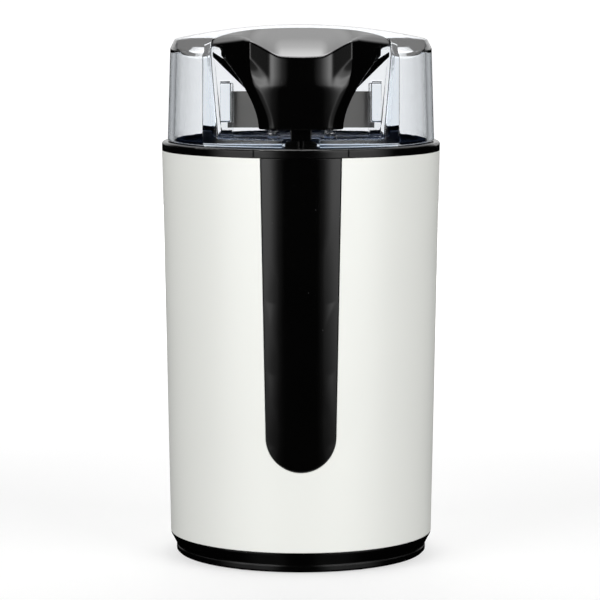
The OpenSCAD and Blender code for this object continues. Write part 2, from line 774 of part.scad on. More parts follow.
module lower_bearing() {
    color([0.7, 0.55, 0.25])
        tube(hub_low_z + 1, hub_low_z + hub_low_h - 1, bearing_r, shaft_r + shaft_fit);
}

brush_z = low_bracket_z + bracket_t + 6;
brush_w = 5;
brush_h = 6;
brush_start = commutator_r + seat;
holder_start = brush_start + 2.7;
holder_end = 25;
module brush_holders() {
    color([0.75, 0.6, 0.3]) for (s = [0, 180]) rotate([0, 0, s]) difference() {
        union() {
            box(holder_start, holder_end, -brush_w / 2 - 1.2, brush_w / 2 + 1.2, brush_z, brush_z + brush_h + 2.4);
            for (y = [-1, 1]) box(holder_start + 8, holder_end,
                y * 2.8 - 0.9, y * 2.8 + 0.9, low_bracket_z + bracket_t, brush_z + 0.5);
        }
        box(holder_start - 1, holder_end - 1.2, -brush_w / 2 - 0.1, brush_w / 2 + 0.1,
            brush_z + 1.1, brush_z + 1.3 + brush_h);
    }
}

module carbon_brushes() {
    color([0.15, 0.15, 0.16]) for (s = [0, 180]) rotate([0, 0, s])
        box(brush_start, holder_end - 5, -brush_w / 2, brush_w / 2, brush_z + 1.2, brush_z + 1.2 + brush_h);
}

module motor_screws() {
    screw_len = deck_top + deck_boss_h - low_bracket_z - 1;
    color([0.75, 0.75, 0.77]) for (s = [-1, 1]) translate([0, s * screw_place, 0])
        screw_up(low_bracket_z, screw_len, 3, 2);
}

mount_r = 5;
module rubber_mounts() {
    color([0.12, 0.12, 0.12]) for (s = [-1, 1]) translate([0, s * screw_place, 0])
        tube(mount_z, deck_z, mount_r, screw_r + screw_clear);
}

cap_w = 15;
cap_d = 7;
cap_h = 9.5;
cap_y = housing_in(deck_top) - cap_d / 2 - 3.16;
module capacitor() {
    color([0.85, 0.7, 0.2]) translate([0, cap_y, deck_top]) linear_extrude(height = cap_h)
        round_rect(cap_w, cap_d, 1);
}

// ---- Switch ----
rod_tip_z = leaf_z + leaf_t + seat;
head_low_z = collar_z + 0.6;
plunger_top = collar_top + plunger_rise;
module switch_plunger() {
    color([0.05, 0.05, 0.05]) difference() {
        union() {
            intersection() {
                plunger_slot(0, head_low_z, plunger_top);
                translate([0, -sleeve_r_top, 0]) rotate([-90, 0, 0]) linear_extrude(height = 30)
                    translate([0, -(head_low_z + plunger_top) / 2])
                    round_rect(2 * plunger_half, plunger_top - head_low_z, 1.2);
            }
            translate([0, rod_y, rod_tip_z + rod_r]) cylinder(h = head_low_z - rod_tip_z - rod_r + 1, r = rod_r);
            translate([0, rod_y, rod_tip_z + rod_r]) sphere(rod_r);
        }
        box(-0.75, 0.75, -sleeve_r_top, -plunger_front_r + 0.9, head_low_z + 1, plunger_top + 1);
    }
}

// A round wire wound along +Z: turns of radius r, from z0 up to z1, made of one closed skin
function helix_point(r, wire, turns, z0, z1, k, n, j, sides) =
    let (u = k / n, a = 360 * turns * u, b = 360 * j / sides)
    [(r + wire * cos(b)) * cos(a), (r + wire * cos(b)) * sin(a),
        z0 + wire + (z1 - z0 - 2 * wire) * u + wire * sin(b)];

module coil_spring(r, wire, turns, z0, z1) {
    sides = 6;
    n = turns * 16;
    points = [for (k = [0:n], j = [0:sides - 1]) helix_point(r, wire, turns, z0, z1, k, n, j, sides)];
    walls = [for (k = [0:n - 1], j = [0:sides - 1])
        let (a = k * sides + j, b = k * sides + (j + 1) % sides)
        [a, a + sides, b + sides, b]];
    first = [for (j = [0:sides - 1]) j];
    last = [for (j = [sides - 1:-1:0]) n * sides + j];
    polyhedron(points = points, faces = concat(walls, [first, last]), convexity = 8);
}

module plunger_spring() {
    color([0.8, 0.8, 0.8]) translate([0, rod_y, 0])
        coil_spring(rod_r + 0.35, 0.2, 3, guide_floor_z + 0.05, head_low_z - 0.05);
}

module switch_body() {
    color([0.1, 0.1, 0.12]) difference() {
        union() {
            box(switch_x - switch_w / 2, switch_x + switch_w / 2, switch_y - switch_d / 2,
                switch_y + switch_d / 2, deck_top, switch_top);
            for (y = [switch_y - switch_d / 2, switch_y + switch_d / 2 - ear_w])
                box(pivot_x - 1.2, pivot_x + 1.2, y, y + ear_w, switch_top - eps, pivot_z + 1);
            for (z = [3, 6, 9]) box(switch_x + switch_w / 2 - eps, switch_x + switch_w / 2 + 4,
                switch_y - 1.6, switch_y + 1.6, deck_top + z, deck_top + z + 0.6);
        }
        translate([pivot_x, 0, pivot_z]) rotate([90, 0, 0]) cylinder(h = 60, r = pin_r + 0.05);
        translate([switch_x_button, switch_y, switch_top - 6]) cylinder(h = 8, r = button_r + 0.06);
        for (s = [-1, 1]) translate([switch_x + s * switch_hole_x, 0, switch_hole_z])
            rotate([90, 0, 0]) cylinder(h = 60, r = screw_r + screw_clear);
    }
}

switch_x_button = pivot_x + button_arm;
button_r = 1.4;
module switch_button() {
    color([0.7, 0.2, 0.15]) translate([switch_x_button, switch_y, 0]) {
        translate([0, 0, switch_top - 4]) cylinder(h = leaf_z - seat - switch_top + 4 - 0.5, r = button_r);
        translate([0, 0, leaf_z - seat - 0.6]) cylinder(h = 0.6, r1 = button_r, r2 = button_r - 0.5);
    }
}

module switch_leaf() {
    color([0.8, 0.8, 0.82]) {
        translate([pivot_x, switch_y + switch_d / 2 - 0.1, pivot_z]) rotate([90, 0, 0])
            cylinder(h = switch_d - 0.2, r = pin_r, $fn = 32);
        translate([pivot_x, switch_y + leaf_half, pivot_z]) rotate([90, 0, 0])
            cylinder(h = 2 * leaf_half, r = pin_r + 0.3, $fn = 32);
        box(pivot_x, pivot_x + leaf_arm + 1.5, switch_y - leaf_half, switch_y + leaf_half,
            leaf_z, leaf_z + leaf_t);
    }
}

module switch_screws() {
    head_h = 1.2;
    front_y = switch_y - switch_d / 2;
    color([0.75, 0.75, 0.77]) for (s = [-1, 1])
        translate([switch_x + s * switch_hole_x, front_y, switch_hole_z]) rotate([-90, 0, 0]) {
            translate([0, 0, -head_h]) cylinder(h = head_h, r = 2.6, $fn = 32);
            translate([0, 0, -eps]) cylinder(h = switch_d + wall_t, r = screw_r, $fn = 32);
        }
}

// ---- Lid ----
// Height of the dome over its edge, flat in the middle and rolling off at the rim
function dome(r) = lid_dome * (1 - pow(r / lid_r_dome, 3));

// Flat facets that take the lid's front shoulders down to the pocket's corners
facet_lean = 47.7;
facet_turn = 38.5;
module shoulder_facets() {
    for (s = [0, 1]) mirror([s, 0, 0]) translate([lid_r_dome - 1.9, -12, lid_dome_z + 0.1])
        rotate([0, facet_lean, -facet_turn]) translate([-40, -40, 0]) cube([80, 80, 30]);
}

module lid_solid(inset, drop) {
    steps = 14;
    rotate_extrude() polygon(concat(
        [[0, lid_z - drop], [lid_r_low - inset, lid_z - drop], [lid_r_top - inset, lid_slope_z - inset / 2]],
        [for (i = [steps:-1:0]) [(lid_r_dome - inset) * i / steps,
            lid_dome_z + dome(lid_r_dome * i / steps) - inset]]));
}

lip_h = 17.8;
guide_gap = 0.4;
guide_back_y = -pocket_back - 0.6;
guide_front_y = guide_back_y - guide_t;
ear_h = 1.9;
ear_out = 1.2;
post_x = 9.3;
post_y = -pocket_back - 7;
post_r = 1.5;
post_h = 4.3;
module clear_lid() {
    rib_in = guide_half + guide_gap;
    color([0.85, 0.9, 0.95, 0.35]) difference() {
        union() {
            difference() {
                union() {
                    difference() {
                        lid_solid(0, 0);
                        lid_solid(lid_wall, 1);
                    }
                    intersection() {
                        lid_solid(0, 0);
                        box(-pocket_half - pocket_wall, pocket_half + pocket_wall, -60,
                            -pocket_back + pocket_back_wall, 0, 300);
                    }
                }
                box(-pocket_half, pocket_half, -60, -pocket_back, pocket_top, 300);
            }
            for (s = [-1, 1]) {
                box(min(s * rib_in, s * (pocket_half + 0.5)), max(s * rib_in, s * (pocket_half + 0.5)),
                    guide_front_y, -pocket_back + 0.5, lever_z + ear_h + seat, pocket_top + lip_h);
                box(min(s * (guide_half - 0.8), s * (pocket_half + 0.5)),
                    max(s * (guide_half - 0.8), s * (pocket_half + 0.5)),
                    guide_front_y - seat - 1.6, guide_front_y - seat, pocket_top - eps, pocket_top + lip_h);
                box(min(s * rib_in, s * (pocket_half + 0.5)), max(s * rib_in, s * (pocket_half + 0.5)),
                    guide_front_y - seat - eps, guide_front_y + eps, lever_z + ear_h + seat, pocket_top + lip_h);
                translate([s * post_x, post_y, pocket_top - eps]) cylinder(h = post_h, r = post_r, $fn = 32);
            }
        }
        box(-notch_half, notch_half, -60, -plunger_front_r + plunger_depth + 0.7, lid_z - 1, pocket_top + 1);
        shoulder_facets();
    }
}

// ---- Press lever ----
// The half widths swell from foot to wings, s runs from 0 at the foot to 1 at the wing tips
function swell(z) = min(1, max(0, (z - lever_z) / wing_rise));
function back_x(z) = back_half + (wing_half - back_half) * pow(swell(z), 1.75);
function face_x(z) = face_half + (wing_face_half - face_half) * pow(swell(z), 1.6);
function corner_cut(z) = 1.2 + 2 * pow(swell(z), 1.5);
function smooth(a, b, v) = let (u = min(1, max(0, (v - a) / (b - a)))) u * u * (3 - 2 * u);

// The front is an arc that leans back near the lip, and under the wings it folds back to a flat
lever_back_y = guide_front_y;
side_slope = 1.05;
front_steps = 14;
function lean(z) = 0.1 * max(0, z - lever_z - 14);
function fold_out(z) = min(face_x(z) - 1, 7.3 + 1.05 * (z - lever_z - 14.3));
function fold_in(z) = min(10.5, fold_out(z) - 2.5);
function arc_y(x, z) = lean(z) - sqrt(lever_r * lever_r - x * x);
function flat_y(x, z) = arc_y(face_x(z), z) - 0.12 * (face_x(z) - x);
function front_y(x, z) = arc_y(x, z) + (flat_y(x, z) - arc_y(x, z))
    * smooth(lever_z + 12.5, lever_z + 20, z) * smooth(fold_in(z), fold_out(z), x);

// Right half of one section: back, slanting side, rounded corner, then the front to the middle
function lever_half(z) =
    let (xb = back_x(z), xf = face_x(z), yf = arc_y(xf, z), c = corner_cut(z),
        yb = yf + side_slope * (xb - xf), side = [xb - xf, yb - yf], x2 = xf - c,
        p0 = [xf, yf] + side * c / norm(side), p2 = [x2, front_y(x2, z)])
    concat([[xb, lever_top_back_y], [xb, yb]],
        [for (i = [0:5]) let (u = i / 5)
            p0 * pow(1 - u, 2) + [xf, yf] * 2 * u * (1 - u) + p2 * u * u],
        [for (i = [1:front_steps]) let (x = x2 * (1 - i / front_steps)) [x, front_y(x, z)]]);
function lever_ring(z) =
    let (half = lever_half(z), n = len(half))
    concat([for (p = half) [p[0], p[1], z]], [for (i = [n - 2:-1:0]) [-half[i][0], half[i][1], z]]);

lever_top_back_y = -pocket_back - 0.5;
lever_deep = lever_r + lever_top_back_y;
module lever_flare() {
    top = lever_back_h + 2;
    levels = concat([for (i = [0:18]) lever_z + wing_rise * i / 18], [lever_z + top]);
    rings = [for (z = levels) lever_ring(z)];
    m = len(rings[0]);
    n = len(rings);
    walls = [for (k = [0:n - 2], j = [0:m - 1])
        let (a = k * m + j, b = k * m + (j + 1) % m)
        each [[a, b, b + m], [a, b + m, a + m]]];
    polyhedron(points = [for (ring = rings) each ring],
        faces = concat(walls, [[for (j = [m - 1:-1:0]) j], [for (j = [0:m - 1]) (n - 1) * m + j]]),
        convexity = 6);
}

// The thumb ramp: a trough that opens to the front between two wings, flat in its middle
function ramp_z(x, d) =
    let (t = min(1, d / lever_deep))
    lever_z + lever_back_h - 0.0037 * x * x - 0.164 * d
        - ramp_drop * (1 - pow(1 - t, 1.6)) * (1 - smooth(6, 20.5, abs(x)));

module ramp_body() {
    nx = 32;
    ny = 12;
    half = wing_half + 1;
    xs = [for (i = [0:nx]) -half + 2 * half * i / nx];
    ds = [for (j = [0:ny]) -1 + (lever_deep + 2) * j / ny];
    top = [for (d = ds, x = xs) [x, lever_top_back_y - d, ramp_z(x, max(0, d))]];
    low = [for (d = ds, x = xs) [x, lever_top_back_y - d, lever_z - 1]];
    w = nx + 1;
    count = len(top);
    cells = [for (j = [0:ny - 1], i = [0:nx - 1]) j * w + i];
    polyhedron(points = concat(top, low), faces = concat(
        [for (a = cells) each [[a, a + 1, a + w + 1], [a, a + w + 1, a + w]]],
        [for (a = cells) each [[count + a, count + a + w + 1, count + a + 1],
            [count + a, count + a + w, count + a + w + 1]]],
        [for (i = [0:nx - 1]) each [[i, count + i, count + i + 1], [i, count + i + 1, i + 1]]],
        [for (i = [0:nx - 1]) let (a = ny * w + i)
            each [[a, a + 1, count + a + 1], [a, count + a + 1, count + a]]],
        [for (j = [0:ny - 1]) let (a = j * w) each [[a, a + w, count + a + w], [a, count + a + w, count + a]]],
        [for (j = [0:ny - 1]) let (a = j * w + nx)
            each [[a, count + a, count + a + w], [a, count + a + w, a + w]]]), convexity = 6);
}

well_r = lever_spring_r + lever_wire_r + 0.6;
well_h = 4.5;
lever_screw_r = 1;
lever_screw_x = 8;
lever_screw_z = 8;
module press_lever() {
    color([0.02, 0.02, 0.02]) difference() {
        union() {
            intersection() {
                lever_flare();
                ramp_body();
            }
            box(-stem_half, stem_half, -plunger_front_r + 0.2, -plunger_front_r + plunger_depth - 0.5,
                plunger_top + 0.1, lever_z + 2);
        }
        box(-guide_half - 0.1, guide_half + 0.1, lever_back_y, 0, 0, lever_z + guide_h + 0.1);
        shoulder_facets();
        for (s = [-1, 1]) {
            translate([s * post_x, post_y, lever_z - 1]) cylinder(h = well_h + 1, r = well_r);
            translate([s * lever_screw_x, guide_front_y + 1, lever_z + lever_screw_z])
                rotate([90, 0, 0]) cylinder(h = 7.5, r = lever_screw_r + thread_fit);
        }
    }
}

lever_head_r = 2;
lever_head_h = 0.8;
module lever_guide() {
    color([0.35, 0.35, 0.35]) difference() {
        union() {
            box(-guide_half, guide_half, guide_front_y, guide_back_y, lever_z, lever_z + guide_h);
            box(-guide_half - ear_out, guide_half + ear_out, guide_front_y, guide_back_y,
                lever_z, lever_z + ear_h);
        }
        for (s = [-1, 1]) translate([s * lever_screw_x, guide_back_y + 1, lever_z + lever_screw_z])
            rotate([90, 0, 0]) {
                cylinder(h = 5, r = lever_screw_r + 0.1);
                cylinder(h = 1 + lever_head_h + 0.1, r = lever_head_r + 0.1);
            }
    }
}

module lever_screws() {
    color([0.75, 0.75, 0.77]) for (s = [-1, 1])
        translate([s * lever_screw_x, guide_back_y - 0.1, lever_z + lever_screw_z]) rotate([90, 0, 0]) {
            cylinder(h = lever_head_h, r = lever_head_r, $fn = 32);
            cylinder(h = guide_t + 5, r = lever_screw_r, $fn = 32);
        }
}

module lever_springs() {
    color([0.8, 0.8, 0.8]) for (s = [-1, 1]) translate([s * post_x, post_y, 0])
        coil_spring(lever_spring_r, lever_wire_r, 5, pocket_top + 0.05, lever_z + well_h - 0.05);
}

outer_sleeve();
inner_housing();
front_strip();
collar();
collar_screws();
base_cover();
base_screws();
rubber_feet();
cord_bush();
grinding_bowl();
shaft_seal();
blade();
blade_spacer();
blade_nut();
motor_shaft();
armature_core();
armature_winding();
commutator();
cooling_fan();
stator_core();
field_coils();
upper_bracket();
lower_bracket();
upper_bearing();
lower_bearing();
brush_holders();
carbon_brushes();
motor_screws();
rubber_mounts();
capacitor();
switch_plunger();
plunger_spring();
switch_body();
switch_leaf();
switch_button();
switch_screws();
clear_lid();
press_lever();
lever_guide();
lever_screws();
lever_springs();
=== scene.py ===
import math

import bpy
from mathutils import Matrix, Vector


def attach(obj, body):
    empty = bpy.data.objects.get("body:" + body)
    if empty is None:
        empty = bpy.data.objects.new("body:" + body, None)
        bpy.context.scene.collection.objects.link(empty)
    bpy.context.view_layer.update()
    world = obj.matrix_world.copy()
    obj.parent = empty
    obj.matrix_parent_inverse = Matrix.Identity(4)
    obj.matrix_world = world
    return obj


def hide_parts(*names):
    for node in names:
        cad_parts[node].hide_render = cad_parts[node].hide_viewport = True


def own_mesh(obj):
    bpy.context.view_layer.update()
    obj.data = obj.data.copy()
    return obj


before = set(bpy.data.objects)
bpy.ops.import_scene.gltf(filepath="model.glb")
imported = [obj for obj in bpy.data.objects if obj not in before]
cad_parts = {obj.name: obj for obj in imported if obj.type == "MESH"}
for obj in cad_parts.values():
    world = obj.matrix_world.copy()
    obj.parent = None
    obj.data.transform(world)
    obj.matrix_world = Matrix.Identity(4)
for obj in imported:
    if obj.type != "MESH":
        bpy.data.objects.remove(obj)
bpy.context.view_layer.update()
bpy.ops.object.select_all(action="DESELECT")

# ---- Studio ----
# A sheet of white card that the grinder stands on, with a camera in front and a little above it.
# Large soft lamps light it from both sides; what the shiny parts mirror is painted into the sky.

camera_place, camera_tilt = (-0.00032, -1.03261, 0.20601), 6.566
camera = bpy.data.objects.new("camera", bpy.data.cameras.new("camera"))
bpy.context.scene.collection.objects.link(camera)
camera.data.sensor_width = 36
camera.data.lens = 181.28
camera.data.clip_start = 0.05
camera.data.clip_end = 50
camera.location = camera_place
camera.rotation_euler = (math.radians(90 - camera_tilt), 0, 0)
bpy.context.scene.camera = camera
bpy.context.scene.view_settings.view_transform = "Standard"


def add_node(tree, kind, values=None, **settings):
    """Adds a shader node. values fills or links its inputs by name or number, settings are its options."""
    made = tree.nodes.new("ShaderNode" + kind)
    for option, value in settings.items():
        setattr(made, option, value)
    for key, value in (values or {}).items():
        if isinstance(value, bpy.types.NodeSocket):
            tree.links.new(value, made.inputs[key])
        else:
            made.inputs[key].default_value = value
    return made


def maths(tree, operation, first, second=0.0, third=None):
    """One Math node, and its result."""
    values = {0: first, 1: second}
    if third is not None:
        values[2] = third
    return add_node(tree, "Math", values, operation=operation).outputs[0]


def product(tree, value, *factors):
    """Several values multiplied together."""
    for factor in factors:
        value = maths(tree, "MULTIPLY", value, factor)
    return value


def stepped(tree, value, low, high, out_low=0.0, out_high=1.0):
    """A soft step: value from low to high gives out_low to out_high."""
    made = add_node(tree, "MapRange", {0: value, 1: low, 2: high, 3: out_low, 4: out_high})
    made.interpolation_type = "SMOOTHSTEP"
    return made.outputs[0]


def blended(tree, share, first, second):
    """Two colours mixed by a share from 0 to 1."""
    return add_node(tree, "Mix", {0: share, 6: first, 7: second}, data_type="RGBA").outputs[2]


def neutral(tree, value):
    """A colour without a hue, as light as the value."""
    return add_node(tree, "CombineXYZ", {0: value, 1: value, 2: value}).outputs[0]


def own_place(tree):
    """Where a point lies on the grinder, in metres."""
    return add_node(tree, "TexCoord").outputs["Object"]


def degrees_from_front(tree, parts):
    """The angle round the grinder of a point or direction: 0 is straight in front of it, 180 straight behind."""
    across = maths(tree, "ABSOLUTE", parts[0])
    ahead = maths(tree, "MULTIPLY", parts[1], -1)
    return maths(tree, "MULTIPLY", maths(tree, "ARCTAN2", across, ahead), 180 / math.pi)


def light_curve(tree, value, full, stops):
    """A smooth curve of light over an angle from 0 to full degrees, through the stops."""
    ramp = add_node(tree, "ValToRGB", {0: maths(tree, "DIVIDE", value, full)})
    while len(ramp.color_ramp.elements) < len(stops):
        ramp.color_ramp.elements.new(0.5)
    for element, (degrees, light) in zip(ramp.color_ramp.elements, stops):
        element.position = degrees / full
        element.color = (light, light, light, 1)
    return ramp.outputs[0]


def new_material(name, **values):
    """A material with one Principled shader, whose sockets are set by name."""
    mat = bpy.data.materials.new(name)
    mat.use_nodes = True
    shader = mat.node_tree.nodes["Principled BSDF"]
    for socket, value in values.items():
        shader.inputs[socket.replace("_", " ")].default_value = value
    return mat, mat.node_tree, shader


bpy.ops.mesh.primitive_plane_add(size=30, location=(0, 0, 0))
floor = bpy.context.object
floor.name = "floor"
floor.visible_glossy = False
floor.visible_diffuse = False
card_grey = 0.4
card, tree, shader = new_material("white_card", Roughness=1, Specular_IOR_Level=0, Emission_Strength=1)
spot = own_place(tree)
# the card glows less round the grinder's foot: a painted shade there, which also lets the real contact shadow show
distance = add_node(tree, "VectorMath", {0: spot}, operation="LENGTH").outputs["Value"]
far = stepped(tree, distance, 0.15, 0.8, 0.6, 1.0)
# seen in the walls of the clear lid, the card is painted dark on both sides of the grinder and light only behind
# it: a painted reflection
glance = light_curve(tree, degrees_from_front(tree, add_node(tree, "SeparateXYZ", {0: spot}).outputs), 180,
                     ((0, 0.0), (142, 0.0), (150, 0.45), (157, 0.7), (165, 0.65), (172, 0.75), (180, 1.1)))
mirrored_once = maths(tree, "GREATER_THAN", add_node(tree, "LightPath").outputs["Glossy Depth"], 0.5)
card_or_painted_reflection = add_node(tree, "Mix", {0: mirrored_once, 2: 1.0, 3: glance}).outputs[0]
tree.links.new(neutral(tree, maths(tree, "MULTIPLY", far, card_or_painted_reflection)), shader.inputs["Emission Color"])
tree.links.new(neutral(tree, maths(tree, "MULTIPLY", card_or_painted_reflection, card_grey)), shader.inputs["Base Color"])
fibres = add_node(tree, "TexNoise", {"Vector": spot, "Scale": 900.0})
bump = add_node(tree, "Bump", {"Height": fibres.outputs[0], "Strength": 0.05, "Distance": 0.0002})
tree.links.new(bump.outputs[0], shader.inputs["Normal"])
floor.data.materials.append(card)

world = bpy.data.worlds.new("studio")
bpy.context.scene.world = world
world.use_nodes = True
world.cycles.sampling_method = "NONE"
tree = world.node_tree
tree.nodes.clear()
direction = add_node(tree, "SeparateXYZ", {0: add_node(tree, "TexCoord").outputs["Generated"]}).outputs
angle = degrees_from_front(tree, direction)
height = maths(tree, "MULTIPLY", maths(tree, "ARCSINE", direction[2]), 180 / math.pi)
path = add_node(tree, "LightPath").outputs
walls_passed = path["Transmission Depth"]
in_glass = maths(tree, "GREATER_THAN", walls_passed, 0.5)
in_first_wall = maths(tree, "LESS_THAN", walls_passed, 2.5)

# a wall of light stands on each side, and comes 4 degrees further forward above the horizon
wall_strength = 5.0
wall_angle = maths(tree, "ADD", angle, stepped(tree, height, -6, 8, 0, 4))
side_walls = light_curve(tree, wall_angle, 180, (
    (0, 0.0), (14, 0.0), (19, 0.1), (22, 0.33), (26, 0.8), (31, 1.0), (50, 0.8), (62, 0.8), (76, 0.2), (82, 0.0),
    (180, 0.0)))
wall_fade = light_curve(tree, maths(tree, "ADD", height, 90), 180, (
    (0, 0.0), (60, 0.05), (72, 0.07), (79, 0.1), (83, 0.36), (90, 0.5), (99, 1.0), (110, 0.8), (118, 0.3),
    (128, 0.08), (150, 0.0), (180, 0.0)))
wall_light = product(tree, side_walls, wall_fade, wall_strength, in_first_wall)

# a ceiling of light lies overhead and behind; less of it shows through the clear plastic
ceiling_strength = 12.0
ceiling = light_curve(tree, maths(tree, "MAXIMUM", height, 0), 90, (
    (0, 0.0), (12, 0.0), (20, 0.01), (28, 0.09), (36, 0.15), (45, 0.2), (58, 0.3), (66, 0.5), (75, 1.0), (82, 0.8),
    (88, 0.2), (90, 0.15)))
behind = stepped(tree, angle, 70, 110)
overhead = stepped(tree, height, 60, 80)
through_plastic = stepped(tree, walls_passed, 0.4, 0.6, 1.0, 0.12)
ceiling_light = product(tree, ceiling, maths(tree, "MAXIMUM", behind, overhead), ceiling_strength, through_plastic)

# a glance inside a single clear wall ends on a card painted into the sky behind, brightest straight behind the
# grinder, and past the second wall it ends in a painted dark
painted_backdrop = product(tree, stepped(tree, angle, 130, 152), stepped(tree, height, -0.5, 2.0, 0.0, 0.9), in_first_wall)
painted_card_behind = product(tree, light_curve(tree, angle, 180, (
    (0, 0.1), (78, 0.1), (100, 0.05), (148, 0.05), (155, 0.25), (160, 0.45), (166, 0.9), (172, 2.0), (180, 2.0))),
    in_first_wall, in_glass)
darkest = 0.03
mirrored_light = maths(tree, "MULTIPLY", in_glass, darkest)
for light in (wall_light, ceiling_light, painted_backdrop, painted_card_behind):
    mirrored_light = maths(tree, "MAXIMUM", mirrored_light, light)

# where the painted sky seen through the clear plastic is dim, it is painted blue: a painted tint for the lid's dim
# edges
white, painted_dim_blue = (1, 1, 1, 1), (0.35, 0.52, 1.0, 1)
painted_blue = blended(tree, stepped(tree, mirrored_light, 0.0, 1.0), painted_dim_blue, white)
tinted = blended(tree, in_glass, white, painted_blue)
mirrored = add_node(tree, "Background", {"Color": tinted, "Strength": mirrored_light})
soft = add_node(tree, "Background", {"Color": white, "Strength": 0.24})
blank = add_node(tree, "Background", {"Color": white, "Strength": 1.0})
straight = maths(tree, "LESS_THAN", path["Glossy Depth"], 0.5)
through = maths(tree, "MULTIPLY", path["Is Transmission Ray"], straight)
seen = maths(tree, "MAXIMUM", path["Is Camera Ray"], through)
lighting = add_node(tree, "MixShader", {0: path["Is Diffuse Ray"], 1: mirrored.outputs[0], 2: soft.outputs[0]})
sky = add_node(tree, "MixShader", {0: seen, 1: lighting.outputs[0], 2: blank.outputs[0]})
tree.links.new(sky.outputs[0], tree.nodes.new("ShaderNodeOutputWorld").inputs[0])


def soft_lamp(name, degrees, light):
    """A tall soft lamp 1.3 m from the grinder, that many degrees round from its front."""
    width, tall, away, raised, tilt = 0.9, 1.2, 1.3, 0.45, 15
    lamp = bpy.data.lights.new(name, "AREA")
    lamp.shape = "RECTANGLE"
    lamp.size = width
    lamp.size_y = tall
    lamp.energy = light * math.pi * width * tall
    holder = bpy.data.objects.new(name, lamp)
    bpy.context.scene.collection.objects.link(holder)
    turn = math.radians(degrees)
    holder.location = (away * math.sin(turn), -away * math.cos(turn), raised)
    holder.rotation_euler = (math.radians(90 - tilt), 0, turn)
    holder.visible_glossy = False
    holder.visible_transmission = False


soft_lamp("front_left_lamp", -48, 4.4)
soft_lamp("front_right_lamp", 48, 4.4)
soft_lamp("back_left_lamp", -165, 3.0)
soft_lamp("back_right_lamp", 165, 3.0)

# ---- Inner housing ----
# A black moulded tube with a deck for the motor, hidden in the sleeve. It carries every other piece.
# Its mould was spark eroded, so its skin has a fine even grain.


def shader_group(name, given, results):
    """Starts a node group: given holds its inputs and their values, results its outputs and their kinds."""
    group = bpy.data.node_groups.new(name, "ShaderNodeTree")
    for label, value in given.items():
        group.interface.new_socket(label, in_out="INPUT", socket_type="NodeSocketFloat").default_value = value
    for label, kind in results.items():
        group.interface.new_socket(label, in_out="OUTPUT", socket_type="NodeSocket" + kind)
    return group, group.nodes.new("NodeGroupInput").outputs, group.nodes.new("NodeGroupOutput").inputs


def placed(tree, group, **values):
    """Puts a group into a material with its own values, and gives its outputs."""
    made = tree.nodes.new("ShaderNodeGroup")
    made.node_tree = group
    for label, value in values.items():
        made.inputs[label].default_value = value
    return made.outputs


# the skin of a mould or a coat of paint: a fine grain, and wide faint clouds
skin, given, results = shader_group("moulded_skin", {"Grain": 2500.0, "Clouds": 40.0},
                                    {"Height": "Float", "Tone": "Float"})
grain = add_node(skin, "TexNoise", {"Vector": own_place(skin), "Scale": given["Grain"], "Detail": 3.0,
                                    "Roughness": 0.6})
clouds = add_node(skin, "TexNoise", {"Vector": own_place(skin), "Scale": given["Clouds"], "Detail": 2.0})
skin.links.new(grain.outputs[0], results["Height"])
skin.links.new(stepped(skin, clouds.outputs[0], 0.35, 0.65), results["Tone"])

# what hands leave: dull smudges, and a few fine specks of dust
handling, given, results = shader_group("handling", {"Smudges": 30.0, "Dust": 0.06},
                                        {"Smudge": "Float", "Dust": "Float"})
smear = add_node(handling, "TexNoise", {"Vector": own_place(handling), "Scale": given["Smudges"], "Detail": 4.0,
                                        "Roughness": 0.7, "Distortion": 0.6})
specks = add_node(handling, "TexVoronoi", {"Vector": own_place(handling), "Scale": 420.0, "Randomness": 1.0})
chance = add_node(handling, "SeparateColor", {0: specks.outputs["Color"]}).outputs[0]
chosen = maths(handling, "LESS_THAN", chance, given["Dust"])
speck = stepped(handling, specks.outputs["Distance"], 0.05, 0.12, 1.0, 0.0)
handling.links.new(stepped(handling, smear.outputs[0], 0.4, 0.72), results["Smudge"])
handling.links.new(maths(handling, "MULTIPLY", speck, chosen), results["Dust"])

# edges that are a little round, and rubbed where they stand out
soft_edges, given, results = shader_group("soft_edges", {"Radius": 0.0004}, {"Normal": "Vector", "Worn": "Float"})
rounded = add_node(soft_edges, "Bevel", {"Radius": given["Radius"]}, samples=4).outputs[0]
flat = add_node(soft_edges, "NewGeometry").outputs["Normal"]
facing = add_node(soft_edges, "VectorMath", {0: rounded, 1: flat}, operation="DOT_PRODUCT").outputs["Value"]
soft_edges.links.new(rounded, results["Normal"])
soft_edges.links.new(stepped(soft_edges, facing, 0.8, 0.98, 1.0, 0.0), results["Worn"])


def over_bump(tree, shader, height, depth):
    """Lays one more relief over the shader's own."""
    bump = add_node(tree, "Bump", {"Height": height, "Distance": depth,
                                   "Normal": shader.inputs["Normal"].links[0].from_socket})
    tree.links.new(bump.outputs[0], shader.inputs["Normal"])


